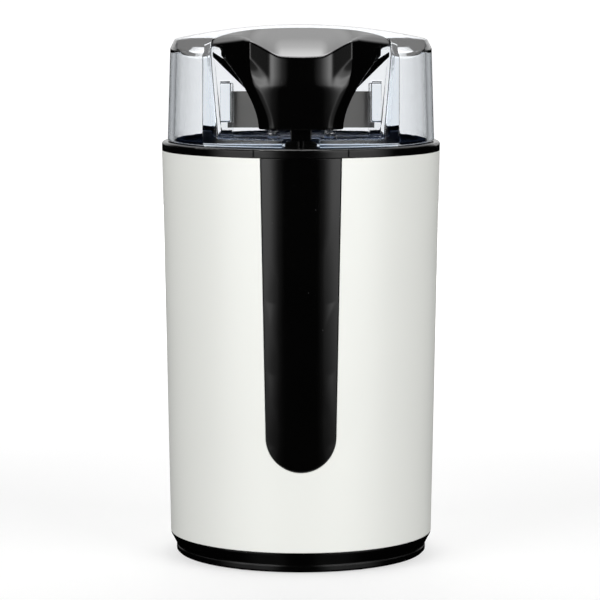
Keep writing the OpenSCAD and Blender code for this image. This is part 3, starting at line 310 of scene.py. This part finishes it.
def moulded(name, colour, roughness, grain=2500.0, depth=0.000004, clouds=40.0, lift=1.12, radius=0.0004,
            smudges=0.06, worn=1.3, **sockets):
    """A material with a moulded skin, soft edges and faint handling marks. Its finer values go to the shader."""
    dust_grey, dust_cover, dust_share, worn_share = 0.6, 0.15, 0.25, 0.5
    mat, tree, shader = new_material(name, **sockets)
    surface = placed(tree, skin, Grain=grain, Clouds=clouds)
    marks = placed(tree, handling)
    edges = placed(tree, soft_edges, Radius=radius)
    lighter = [min(1.0, part * lift) for part in colour]
    rubbed = [min(1.0, part * worn + 0.0005) for part in colour]
    dusty = [part + dust_cover * (dust_grey - part) for part in colour]
    base = blended(tree, surface["Tone"], (*colour, 1), (*lighter, 1))
    base = blended(tree, maths(tree, "MULTIPLY", edges["Worn"], worn_share), base, (*rubbed, 1))
    base = blended(tree, maths(tree, "MULTIPLY", marks["Dust"], dust_share), base, (*dusty, 1))
    tree.links.new(base, shader.inputs["Base Color"])
    tree.links.new(maths(tree, "MULTIPLY_ADD", marks["Smudge"], smudges, roughness), shader.inputs["Roughness"])
    bump = add_node(tree, "Bump", {"Height": surface["Height"], "Distance": depth, "Normal": edges["Normal"]})
    tree.links.new(bump.outputs[0], shader.inputs["Normal"])
    return mat, tree, shader


def dress(material, *names):
    """Gives a CAD node its finish."""
    for name in names:
        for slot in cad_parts[name].material_slots:
            slot.material = material


housing_black = moulded("housing_black", (0.03, 0.03, 0.031), 0.55, grain=1400.0, depth=0.00002)[0]
dress(housing_black, "inner_housing")

# ---- Outer sleeve ----
# The sleeve is deep drawn sheet steel, sprayed ivory and stoved. The paint has a faint orange peel
# and a thin clear film on top. It slides over the housing from below and is held by the base ring.

ivory_paint = moulded("ivory_paint", (0.86, 0.87, 0.83), 0.38, grain=900.0, depth=0.000006, clouds=14.0,
                      lift=1.012, smudges=0.05, worn=1.02, Coat_Weight=0.45, Coat_Roughness=0.25)[0]
dress(ivory_paint, "outer_sleeve")

# ---- Front strip ----
# A gloss black strip snaps into the sleeve's slot from the front. It is moulded in a polished mould,
# so only hairline scratches and a little dust show on it.

hairlines, given, results = shader_group("hairlines", {"Length": 60.0, "Width": 2600.0}, {"Height": "Float"})
parts = add_node(hairlines, "SeparateXYZ", {0: own_place(hairlines)}).outputs
drawn = add_node(hairlines, "CombineXYZ", {0: maths(hairlines, "MULTIPLY", parts[0], given["Width"]),
                                           1: maths(hairlines, "MULTIPLY", parts[1], given["Width"]),
                                           2: maths(hairlines, "MULTIPLY", parts[2], given["Length"])})
scratches = add_node(hairlines, "TexNoise", {"Vector": drawn.outputs[0], "Scale": 1.0, "Detail": 1.0})
hairlines.links.new(stepped(hairlines, scratches.outputs[0], 0.72, 0.8), results["Height"])

black_gloss, tree, shader = moulded("black_gloss", (0.001, 0.001, 0.001), 0.07, grain=1200.0, depth=0.0000006,
                                    smudges=0.03, worn=1.0)
over_bump(tree, shader, placed(tree, hairlines)["Height"], 0.0000015)
dress(black_gloss, "front_strip")

# ---- Motor ----
# A small universal motor stands in the housing: a stack of stamped sheets with enamelled coils, two
# zinc brackets with bronze bearings, and a wound rotor with its commutator, brushes and nylon fan.

turning, given, results = shader_group("turning_marks", {"Pitch": 0.0002}, {"Height": "Float", "Tone": "Float"})
parts = add_node(turning, "SeparateXYZ", {0: own_place(turning)}).outputs
reach = maths(turning, "SQRT", maths(turning, "ADD", maths(turning, "MULTIPLY", parts[0], parts[0]),
                                     maths(turning, "MULTIPLY", parts[1], parts[1])))
around = maths(turning, "ARCTAN2", parts[1], parts[0])
rings = add_node(turning, "CombineXYZ", {0: maths(turning, "DIVIDE", reach, given["Pitch"]),
                                         1: maths(turning, "DIVIDE", parts[2], given["Pitch"]),
                                         2: maths(turning, "MULTIPLY", around, 1.5)})
cuts = add_node(turning, "TexNoise", {"Vector": rings.outputs[0], "Scale": 1.0, "Detail": 3.0, "Roughness": 0.7})
turning.links.new(cuts.outputs[0], results["Height"])
turning.links.new(stepped(turning, cuts.outputs[0], 0.3, 0.7), results["Tone"])


def metal(name, colour, roughness, pitch=None, depth=0.000003, grain=1500.0, darker=0.82, **sockets):
    """A bare metal, turned where it has a pitch and otherwise with a cast or drawn skin."""
    edge_radius, rubbed_lift, worn_share, smudges, tone_polish = 0.0002, 1.25, 0.6, 0.08, 0.08
    mat, tree, shader = new_material(name, Metallic=1, **sockets)
    marks = placed(tree, handling, Smudges=60.0)
    edges = placed(tree, soft_edges, Radius=edge_radius)
    surface = placed(tree, turning, Pitch=pitch) if pitch else placed(tree, skin, Grain=grain, Clouds=120.0)
    dull = [part * darker for part in colour]
    bright = [min(1.0, part * rubbed_lift) for part in colour]
    base = blended(tree, surface["Tone"], (*dull, 1), (*colour, 1))
    base = blended(tree, maths(tree, "MULTIPLY", edges["Worn"], worn_share), base, (*bright, 1))
    tree.links.new(base, shader.inputs["Base Color"])
    polish = maths(tree, "MULTIPLY_ADD", surface["Tone"], -tone_polish, roughness + tone_polish / 2)
    tree.links.new(maths(tree, "MULTIPLY_ADD", marks["Smudge"], smudges, polish), shader.inputs["Roughness"])
    bump = add_node(tree, "Bump", {"Height": surface["Height"], "Distance": depth, "Normal": edges["Normal"]})
    tree.links.new(bump.outputs[0], shader.inputs["Normal"])
    return mat, tree, shader


def ridged(made, value, pitch, depth, gap_colour):
    """Lays even ridges with dark gaps over a finish: sheets in a stack, wires in a coil, bars in a ring."""
    mat, tree, shader = made
    turns = maths(tree, "MULTIPLY", value(tree), 2 * math.pi / pitch)
    ridge = maths(tree, "MULTIPLY_ADD", maths(tree, "SINE", turns), 0.5, 0.5)
    base = shader.inputs["Base Color"].links[0].from_socket
    tree.links.new(blended(tree, stepped(tree, ridge, 0.0, 0.3), (*gap_colour, 1), base),
                   shader.inputs["Base Color"])
    over_bump(tree, shader, ridge, depth)
    return mat


def upwards(tree):
    """The height over the floor."""
    return add_node(tree, "SeparateXYZ", {0: own_place(tree)}).outputs[2]


def around_shaft(tree):
    """The angle round the shaft."""
    parts = add_node(tree, "SeparateXYZ", {0: own_place(tree)}).outputs
    return maths(tree, "ARCTAN2", parts[1], parts[0])


def out_from_shaft(tree):
    """The distance to the left or right of the shaft."""
    return maths(tree, "ABSOLUTE", add_node(tree, "SeparateXYZ", {0: own_place(tree)}).outputs[0])


# the dark between the wires of the coils is painted shade in their grooves; between the core's sheets and the
# commutator's bars it is their dark joints
wire_red, wire_groove_shade, wire_relief, bars = (0.72, 0.3, 0.13), (0.09, 0.03, 0.015), 0.00015, 24
core_steel = ridged(metal("core_steel", (0.3, 0.3, 0.33), 0.42), upwards, 0.0005, 0.00005, (0.06, 0.06, 0.065))
coil_wire = ridged(metal("coil_wire", wire_red, 0.3), out_from_shaft, 0.00045, wire_relief, wire_groove_shade)
rotor_wire = ridged(metal("rotor_wire", wire_red, 0.3), around_shaft, 0.04, wire_relief, wire_groove_shade)
commutator_bars = ridged(metal("commutator_bars", (0.76, 0.4, 0.2), 0.25, pitch=0.00012), around_shaft,
                         2 * math.pi / bars, 0.0002, (0.02, 0.015, 0.01))
cast_zinc = metal("cast_zinc", (0.58, 0.58, 0.6), 0.5, grain=700.0, depth=0.00003)[0]
sintered_bronze = metal("sintered_bronze", (0.6, 0.4, 0.2), 0.48, grain=5200.0, depth=0.00002, darker=0.6)[0]
stamped_brass = metal("stamped_brass", (0.75, 0.58, 0.28), 0.3, grain=2400.0)[0]
zinc_plate = metal("zinc_plate", (0.62, 0.64, 0.68), 0.28, grain=1800.0, darker=0.86)[0]
turned_steel = metal("turned_steel", (0.62, 0.62, 0.64), 0.24, pitch=0.00015)[0]
carbon = moulded("carbon", (0.05, 0.05, 0.055), 0.6, grain=4200.0, depth=0.00001)[0]
white_nylon = moulded("white_nylon", (0.78, 0.78, 0.73), 0.42, grain=1500.0, lift=1.03, worn=1.05,
                      Subsurface_Weight=0.15, Subsurface_Scale=0.001)[0]
black_rubber = moulded("black_rubber", (0.028, 0.028, 0.029), 0.72, grain=1700.0, depth=0.00003, smudges=0.1)[0]
film_yellow = moulded("film_yellow", (0.78, 0.58, 0.1), 0.2, grain=500.0, depth=0.00002, Coat_Weight=0.5,
                      Coat_Roughness=0.1)[0]
dress(core_steel, "stator_core", "armature_core")
dress(coil_wire, "field_coils")
dress(rotor_wire, "armature_winding")
dress(commutator_bars, "commutator")
dress(cast_zinc, "upper_bracket", "lower_bracket")
dress(sintered_bronze, "upper_bearing", "lower_bearing")
dress(stamped_brass, "brush_holders")
dress(zinc_plate, "motor_screws")
dress(turned_steel, "motor_shaft")
dress(carbon, "carbon_brushes")
dress(white_nylon, "cooling_fan")
dress(black_rubber, "rubber_mounts")
dress(film_yellow, "capacitor")

# ---- Switch ----
# A small leaf switch is screwed to the housing under the plunger's rod. Its spring steel leaf is
# bent up from strip, and presses the red button when the lid's lever is pushed down.

switch_black = moulded("switch_black", (0.04, 0.04, 0.045), 0.4)[0]
switch_red = moulded("switch_red", (0.6, 0.07, 0.05), 0.35, lift=1.06)[0]
spring_steel = metal("spring_steel", (0.62, 0.62, 0.64), 0.22, grain=3000.0)[0]
dress(switch_black, "switch_body")
dress(switch_red, "switch_button")
dress(spring_steel, "switch_leaf")
dress(zinc_plate, "switch_screws")

# ---- Base ----
# The satin black base ring closes the casing from below. Three screws hold it, air enters through
# its slots, and it stands on four rubber feet. The cord's rubber bush sits low in the back wall.

black_satin = moulded("black_satin", (0.001, 0.001, 0.001), 0.15, grain=2200.0, depth=0.000001, radius=0.0005,
                      smudges=0.05, Specular_IOR_Level=0.3)[0]
dress(black_satin, "base_cover")
dress(zinc_plate, "base_screws")
dress(black_rubber, "rubber_feet", "cord_bush")

# ---- Bowl and blade ----
# The bowl is spun from stainless sheet and brushed round its axis. The stamped blade is ground along
# its edges and clamped to the motor's shaft between a turned spacer and a nut, over a rubber seal.

bowl_steel = metal("bowl_steel", (0.66, 0.66, 0.67), 0.26, pitch=0.00018, depth=0.000006, Anisotropic=0.4)[0]
blade_steel, tree, shader = metal("blade_steel", (0.64, 0.64, 0.66), 0.2, grain=2600.0)
grinding = add_node(tree, "Mapping", {"Vector": own_place(tree), "Scale": (300.0, 5200.0, 5200.0)})
strokes = add_node(tree, "TexNoise", {"Vector": grinding.outputs[0], "Scale": 1.0, "Detail": 2.0})
over_bump(tree, shader, strokes.outputs[0], 0.000006)
dress(bowl_steel, "grinding_bowl")
dress(blade_steel, "blade")
dress(turned_steel, "blade_spacer", "blade_nut")
dress(black_rubber, "shaft_seal")

# ---- Collar and plunger ----
# The collar is a satin black ring, screwed down on the housing round the bowl. The switch's plunger
# stands out of its guide at the front, and a spring of drawn wire under it holds it up.


def activate(piece):
    """Makes one piece the only selected one."""
    bpy.ops.object.select_all(action="DESELECT")
    bpy.context.view_layer.objects.active = piece
    piece.select_set(True)


def open_up(piece):
    """Opens one piece in edit mode with all of it selected."""
    activate(piece)
    bpy.ops.object.mode_set(mode="EDIT")
    bpy.ops.mesh.select_all(action="SELECT")


def clean_mesh(piece, angle=0.02):
    """Merges doubles, clears needless edges and points the faces outwards."""
    open_up(piece)
    bpy.ops.mesh.remove_doubles(threshold=0.00001)
    bpy.ops.mesh.normals_make_consistent(inside=False)
    if angle:
        bpy.ops.mesh.dissolve_limited(angle_limit=math.radians(angle))
    bpy.ops.object.mode_set(mode="OBJECT")


def squeezed(node, name, body):
    """A spring of drawn wire in a CAD spring's place, carried by the body it is attached to."""
    spring = bpy.data.objects.new(name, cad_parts[node].data.copy())
    bpy.context.scene.collection.objects.link(spring)
    clean_mesh(spring, 0)
    bpy.ops.object.shade_smooth_by_angle(angle=math.radians(50))
    spring.data.materials.clear()
    spring.data.materials.append(spring_steel)
    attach(spring, body)
    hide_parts(node)
    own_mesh(spring)


dress(black_satin, "collar", "switch_plunger")
dress(zinc_plate, "collar_screws")
squeezed("plunger_spring", "plunger_coil", "casing")

# ---- Clear lid ----
# The lid is one clear moulding: a domed shell with a pocket let into its front for the lever.
# Its corners are rounded in the mould, and the thick walls of the pocket bend the light behind them.

lid_foot, lid_shoulder, lid_rim, lid_top = 0.1422, 0.1736, 0.1768, 0.1816
foot_radius, shoulder_radius, dome_radius = 0.0455, 0.0445, 0.0429
lid_wall, pocket_side_wall, pocket_back_wall = 0.0022, 0.0018, 0.002
pocket_half, pocket_foot_half, pocket_back, pocket_floor, pocket_waist = 0.0298, 0.0275, -0.026, 0.1452, 0.172
past_front, past_foot, past_top = -0.06, 0.1, 0.2
spring_across, spring_front, post_radius, post_height = 0.0093, -0.033, 0.0015, 0.0045
facet_spot, facet_lean, facet_tool = (0.041, -0.012, 0.1769), (0.578, -0.46, 0.673), 0.08
notch_half, notch_back = 0.00615, -0.0358


def from_points(name, points, edges=(), faces=()):
    """A piece made from its corner points, and the edges or faces between them."""
    mesh = bpy.data.meshes.new(name)
    mesh.from_pydata(points, edges, faces)
    piece = bpy.data.objects.new(name, mesh)
    bpy.context.scene.collection.objects.link(piece)
    return piece


def turned(name, profile):
    """A solid turned round the motor's axis from half its section, given as (radius, height) points."""
    links = [(i, i + 1) for i in range(len(profile) - 1)]
    piece = from_points(name, [(r, 0, z) for r, z in profile], edges=links)
    open_up(piece)
    bpy.ops.mesh.spin(steps=288, angle=2 * math.pi, center=(0, 0, 0), axis=(0, 0, 1))
    bpy.ops.object.mode_set(mode="OBJECT")
    clean_mesh(piece, 0)
    return piece


def block(name, low, high):
    """A box between two corners."""
    size = [b - a for a, b in zip(low, high)]
    bpy.ops.mesh.primitive_cube_add(size=1, location=[(a + b) / 2 for a, b in zip(low, high)])
    piece = bpy.context.object
    piece.name = name
    piece.scale = size
    bpy.ops.object.transform_apply(location=True, rotation=True, scale=True)
    return piece


def side_block(name, side, across, depth, heights):
    """A box on the left or right, between two distances from the middle, two depths and two heights."""
    ends = sorted((side * across[0], side * across[1]))
    return block(name, (ends[0], depth[0], heights[0]), (ends[1], depth[1], heights[1]))


def carve(piece, tool, operation="DIFFERENCE"):
    """Cuts a piece with a tool or joins them, and clears the tool away."""
    activate(piece)
    cut = piece.modifiers.new("cut", "BOOLEAN")
    cut.operation = operation
    cut.solver = "EXACT"
    cut.object = tool
    bpy.ops.object.modifier_apply(modifier="cut")
    bpy.data.objects.remove(tool)


def round_edges(piece, width, angle=30, segments=3, chosen=None, merged=0):
    """Rounds a piece's sharp edges, or those that chosen picks by their two ends.

    Short sharp edges are merged first where asked. The piece is then shaded by its big faces.
    """
    activate(piece)
    bpy.ops.object.shade_smooth()
    if merged:
        bpy.ops.object.mode_set(mode="EDIT")
        bpy.ops.mesh.select_mode(type="EDGE")
        bpy.ops.mesh.select_all(action="DESELECT")
        bpy.ops.mesh.edges_select_sharp(sharpness=math.radians(angle))
        bpy.ops.mesh.remove_doubles(threshold=merged)
        bpy.ops.object.mode_set(mode="OBJECT")
    bevel = piece.modifiers.new("edges", "BEVEL")
    bevel.width = width
    bevel.segments = segments
    bevel.use_clamp_overlap = False
    if chosen:
        bevel.limit_method = "WEIGHT"
        marks = piece.data.attributes.new("bevel_weight_edge", "FLOAT", "EDGE")
        points = [vertex.co for vertex in piece.data.vertices]
        for edge, mark in zip(piece.data.edges, marks.data):
            mark.value = float(chosen(points[edge.vertices[0]], points[edge.vertices[1]]))
    else:
        bevel.limit_method = "ANGLE"
        bevel.angle_limit = math.radians(angle)
    bpy.ops.object.modifier_apply(modifier="edges")
    if chosen:
        piece.data.attributes.remove(piece.data.attributes["bevel_weight_edge"])
    shading = piece.modifiers.new("shading", "WEIGHTED_NORMAL")
    shading.weight = 100
    bpy.ops.object.modifier_apply(modifier="shading")


def dome_profile(inset):
    """Half the lid's section from its foot to the middle of its dome, moved in by the wall's thickness."""
    steps = 16
    rim = dome_radius - inset
    foot = lid_foot - (0.002 if inset else 0)
    points = [(foot_radius - inset, foot), (shoulder_radius - inset, lid_shoulder - inset / 2)]
    for i in range(steps + 1):
        r = rim * (1 - i / steps)
        points.append((r, lid_rim - inset + (lid_top - lid_rim) * (1 - (r / rim) ** 2)))
    return [(0, foot)] + points


def at_pocket_back(a, b):
    """Whether an edge lies at the pocket's back, and isn't the line round its waist."""
    at_waist = abs(a.z + b.z - 2 * pocket_waist) <= 1e-4
    return min(a.y, b.y) > pocket_back - 0.001 and not at_waist


dome = turned("clear_dome", dome_profile(0))
hollow = turned("hollow", dome_profile(lid_wall))
carve(hollow, block("walls", (-pocket_half - pocket_side_wall, past_front, past_foot),
                    (pocket_half + pocket_side_wall, pocket_back + pocket_back_wall, past_top)))
clean_mesh(hollow)
carve(dome, hollow)
pocket = block("pocket", (-pocket_half, past_front, pocket_floor), (pocket_half, pocket_back, past_top))
open_up(pocket)
bpy.ops.mesh.bisect(plane_co=(0, 0, pocket_waist), plane_no=(0, 0, 1))
bpy.ops.object.mode_set(mode="OBJECT")
for corner in pocket.data.vertices:
    if corner.co.z < pocket_waist - 0.001:
        corner.co.x *= pocket_foot_half / pocket_half
round_edges(pocket, 0.0014, segments=5, chosen=at_pocket_back)
carve(dome, pocket)
for side in (-1, 1):
    carve(dome, side_block("rib", side, (0.0236, 0.0268), (-0.0288, pocket_back + 0.0005), (0.1503, 0.1632)),
          "UNION")
    carve(dome, side_block("lip", side, (0.0224, 0.0266), (-0.0302, -0.0286), (pocket_floor - 0.0002, 0.1630)),
          "UNION")
    bpy.ops.mesh.primitive_cylinder_add(vertices=32, radius=post_radius, depth=post_height,
                                        location=(side * spring_across, spring_front, pocket_floor + 0.0021))
    carve(dome, bpy.context.object, "UNION")
    outward = Vector((side * facet_lean[0], facet_lean[1], facet_lean[2])).normalized()
    facet_middle = Vector((side * facet_spot[0], facet_spot[1], facet_spot[2]))
    bpy.ops.mesh.primitive_cube_add(size=facet_tool, location=facet_middle + outward * (facet_tool / 2),
                                    rotation=outward.to_track_quat("Z", "Y").to_euler())
    bpy.ops.object.transform_apply(location=True, rotation=True, scale=True)
    carve(dome, bpy.context.object)
carve(dome, block("notch", (-notch_half, past_front, 0.14), (notch_half, notch_back, pocket_floor + 0.001)))
clean_mesh(dome)
round_edges(dome, 0.0005, angle=24, merged=0.0004)
clear_plastic, tree, shader = new_material("clear_plastic", Base_Color=(1, 1, 1, 1), Roughness=0, IOR=1.49,
                                           Transmission_Weight=1)
flow = add_node(tree, "Bump", {"Height": placed(tree, skin, Grain=160.0, Clouds=60.0)["Height"],
                               "Distance": 0.000015})
tree.links.new(flow.outputs[0], shader.inputs["Normal"])
tree.links.new(maths(tree, "MULTIPLY", placed(tree, handling)["Smudge"], 0.02), shader.inputs["Roughness"])
blue_tint = add_node(tree, "VolumeAbsorption", {"Color": (0.32, 0.5, 0.68, 1), "Density": 35.0})
tree.links.new(blue_tint.outputs[0], tree.nodes["Material Output"].inputs["Volume"])
dome.data.materials.clear()
dome.data.materials.append(clear_plastic)
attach(dome, "lid")
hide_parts("clear_lid")
squeezed("lever_springs", "return_springs", "lid")

# ---- Press lever ----
# The thumb lever is one gloss black moulding. It flares from a narrow foot into two wings, and its
# top is a dished ramp for the thumb. Behind its foot it is set back for the grey guide plate.

lever_foot, lever_waist, lever_height, waist_band = 0.1481, 0.1625, 0.027, 0.0024
lever_back, foot_back, foot_back_height = -0.0265, -0.0283, 0.0121
foot_half, body_half, flare, flare_height, lip_reach = 0.0139, 0.0264, 0.0155, 0.0271, 0.003
face_half, face_growth, wing_sweep = 0.010, 0.0067, 1.05
foot_bend, less_bend, bend_reach, lean_forward, lean_back = 0.060, 0.010, 0.044, 0.04, 0.14
fold_across, fold_height, fold_lean, fold_width, facet_start = 0.0073, 0.1624, 1.05, 0.0045, 0.0103
ramp_top, ramp_length, ramp_drop, dish_depth = 0.1813, 0.0175, 0.00287, 0.0069
round_low, round_high = 0.163, 0.166


def clamped(value):
    """Keeps a value between 0 and 1."""
    return min(1.0, max(0.0, value))


def swell(z):
    """How far the lever has flared at a height, from 0 at its foot to 1 at its wings."""
    return clamped((z - lever_foot) / flare_height)


def eased(low, high, value):
    """A soft step from 0 at low to 1 at high."""
    share = clamped((value - low) / (high - low))
    return share * share * (3 - 2 * share)


def lever_side(z):
    """Half the lever's width.

    It flares as far as its body goes, and then a thin lip reaches the pocket's walls.
    """
    body = body_half + lip_reach * eased(0.1743, 0.1753, z)
    return min(foot_half + flare * swell(z) ** 1.75, body)


def lever_face(z):
    """Half the width of the lever's curved face, between its two slanting sides."""
    return face_half + face_growth * eased(0, 0.8, swell(z))


def lever_arc(x, z):
    """The curved front of the lever, rounder above than at its foot, and leaning back above its waist."""
    bend = foot_bend - less_bend * eased(0.160, 0.166, z)
    past = clamped((z - lever_waist) / waist_band + 0.5)
    turned_back = waist_band * (past ** 3 - past ** 4 / 2) + max(0.0, z - lever_waist - waist_band / 2)
    leaning = lean_back * turned_back - lean_forward * (z - lever_foot)
    return leaning + bend - bend_reach - math.sqrt(bend ** 2 - x * x)


def lever_front(x, z):
    """How far forward the front stands: an arc that flares under a slanting fold into a flat facet above it."""
    arc = lever_arc(x, z)
    fold = fold_height + (x - fold_across) / fold_lean
    facet = lever_arc(facet_start, z) + 0.1 * (x - facet_start)
    share = clamped(1 + (z - fold) / fold_width) ** 1.5
    return arc + (facet - arc) * share * eased(0.0093, 0.0108, x)


def lever_ramp(x, y):
    """The height of the ramp, dished in its middle and level with the lid's shoulders at the wing tips."""
    deep = clamped((lever_back - y) / ramp_length)
    dish = dish_depth * (0.55 * deep + 0.45 * deep ** 2) * (1 - eased(0.006, 0.0205, abs(x)))
    aside, ahead = abs(x) - facet_spot[0], y - facet_spot[1]
    shoulder = facet_spot[2] - (facet_lean[0] * aside + facet_lean[1] * ahead) / facet_lean[2]
    return min(ramp_top - 1.82 * x ** 2 - 2947 * x ** 4 - ramp_drop * deep - dish, shoulder)


def lever_outline(z):
    """Right half of the lever's outline at a height, from the middle of its front to its back corner."""
    front_steps, round_steps, wing_steps = 30, 8, 7
    face, side = lever_face(z), lever_side(z)
    cut = 0.0012 - 0.0011 * eased(round_low, round_high, z)
    corner = Vector((face, lever_front(face, z)))
    wing = Vector((side, corner.y + wing_sweep * (side - face)))
    along = (wing - corner).normalized()
    before = Vector((face - cut, lever_front(face - cut, z)))
    after = corner + along * cut
    points = []
    for i in range(front_steps + 1):
        x = before.x * i / front_steps
        points.append(Vector((x, lever_front(x, z))))
    for i in range(1, round_steps + 1):
        share = i / round_steps
        points.append(before * (1 - share) ** 2 + corner * 2 * share * (1 - share) + after * share ** 2)
    points += [after.lerp(wing, i / wing_steps) for i in range(1, wing_steps + 1)]
    return points, foot_back if z < lever_foot + foot_back_height else lever_back


def spread_out(length, count):
    """Shares from 0 to 1 along a length, with room at both ends for a rounded edge."""
    margin = min(0.3, 0.0007 / length)
    return [0] + [margin + (1 - 2 * margin) * i / (count - 2) for i in range(count - 1)] + [1]


half_count, side_count, row_count = len(lever_outline(lever_foot)[0]) - 1, 14, 56


def lever_loop(z):
    """The whole outline at a height: the front from left to right, the right side, the back and the left side."""
    half, back = lever_outline(z)
    front = [(-point.x, point.y) for point in half[:0:-1]] + [tuple(point) for point in half]
    x, y = half[-1]
    side = [(x, y + (back - y) * share) for share in spread_out(back - y, side_count)]
    rear = [(px, back) for px, py in reversed(front)]
    return front + side[1:-1] + rear + [(-sx, sy) for sx, sy in side[-2:0:-1]]


# the wall of the lever: each column of points ends where it meets the ramp
loop_count = len(lever_loop(lever_foot))
tops = []
for k in range(loop_count):
    low, high = 0.160, 0.1825
    for _ in range(24):
        middle = (low + high) / 2
        if middle < lever_ramp(*lever_loop(middle)[k]):
            low = middle
        else:
            high = middle
    tops.append(low)
verts, faces = [], []
for share in spread_out(lever_height, row_count):
    for k, top in enumerate(tops):
        z = lever_foot + (top - lever_foot) * share
        verts.append((*lever_loop(z)[k], z))
for row in range(0, row_count * loop_count, loop_count):
    for k in range(loop_count):
        after = (k + 1) % loop_count
        faces.append((row + k, row + after, row + loop_count + after, row + loop_count + k))
# the ramp: lines from the lip to the back edge, between the tops of the two sides
rim = row_count * loop_count
front_count = 2 * half_count + 1
left_end = front_count + side_count - 1
lines = []
for k in range(front_count):
    back_end = rim + left_end + front_count - 1 - k
    lip, rear = verts[rim + k], verts[back_end]
    line = [rim + k]
    for i, share in enumerate(spread_out(rear[1] - lip[1], side_count)[1:-1]):
        if k == 0:
            line.append(rim + loop_count - 1 - i)
        elif k == front_count - 1:
            line.append(rim + front_count + i)
        else:
            x, y = lip[0] + (rear[0] - lip[0]) * share, lip[1] + (rear[1] - lip[1]) * share
            line.append(len(verts))
            verts.append((x, y, lever_ramp(x, y)))
    lines.append(line + [back_end])
for near, far in zip(lines, lines[1:]):
    faces += [(near[i], far[i], far[i + 1], near[i + 1]) for i in range(side_count)]
faces.append(tuple(reversed(range(loop_count))))
lever = from_points("thumb_lever", verts, faces=faces)
clean_mesh(lever, 0)
round_edges(lever, 0.0005, angle=44)
# the wells for the two springs are bored after the edges are rounded
for side in (-1, 1):
    bpy.ops.mesh.primitive_cylinder_add(vertices=40, radius=0.0032, depth=0.009,
                                        location=(side * spring_across, spring_front, lever_foot))
    carve(lever, bpy.context.object)
stem = block("stem", (-0.0035, -0.042, 0.1445), (0.0035, -0.037, 0.1501))
round_edges(stem, 0.0003)
web_front, web_depth = -0.0282, 0.0016
web_corners = ((0.0170, 0.1605), (0.0184, 0.1609), (0.0293, 0.1716), (0.0293, 0.1732), (0.0262, 0.1712),
               (0.0220, 0.1690), (0.0180, 0.1660))
webs = []
for side in (-1, 1):
    web = from_points("web", [(side * x, web_front, z) for x, z in web_corners], faces=[range(len(web_corners))])
    open_up(web)
    bpy.ops.mesh.extrude_region_move(TRANSFORM_OT_translate={"value": (0, web_depth, 0)})
    bpy.ops.object.mode_set(mode="OBJECT")
    clean_mesh(web, 0)
    round_edges(web, 0.0003)
    webs.append(web)
activate(lever)
for part in [stem] + webs:
    part.select_set(True)
bpy.ops.object.join()
lever.data.materials.clear()
lever.data.materials.append(black_gloss)
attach(lever, "lever")
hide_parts("press_lever")
guide_grey = moulded("guide_grey", (0.21, 0.21, 0.207), 0.42, grain=1600.0, depth=0.00001)[0]
dress(guide_grey, "lever_guide")
dress(zinc_plate, "lever_screws")
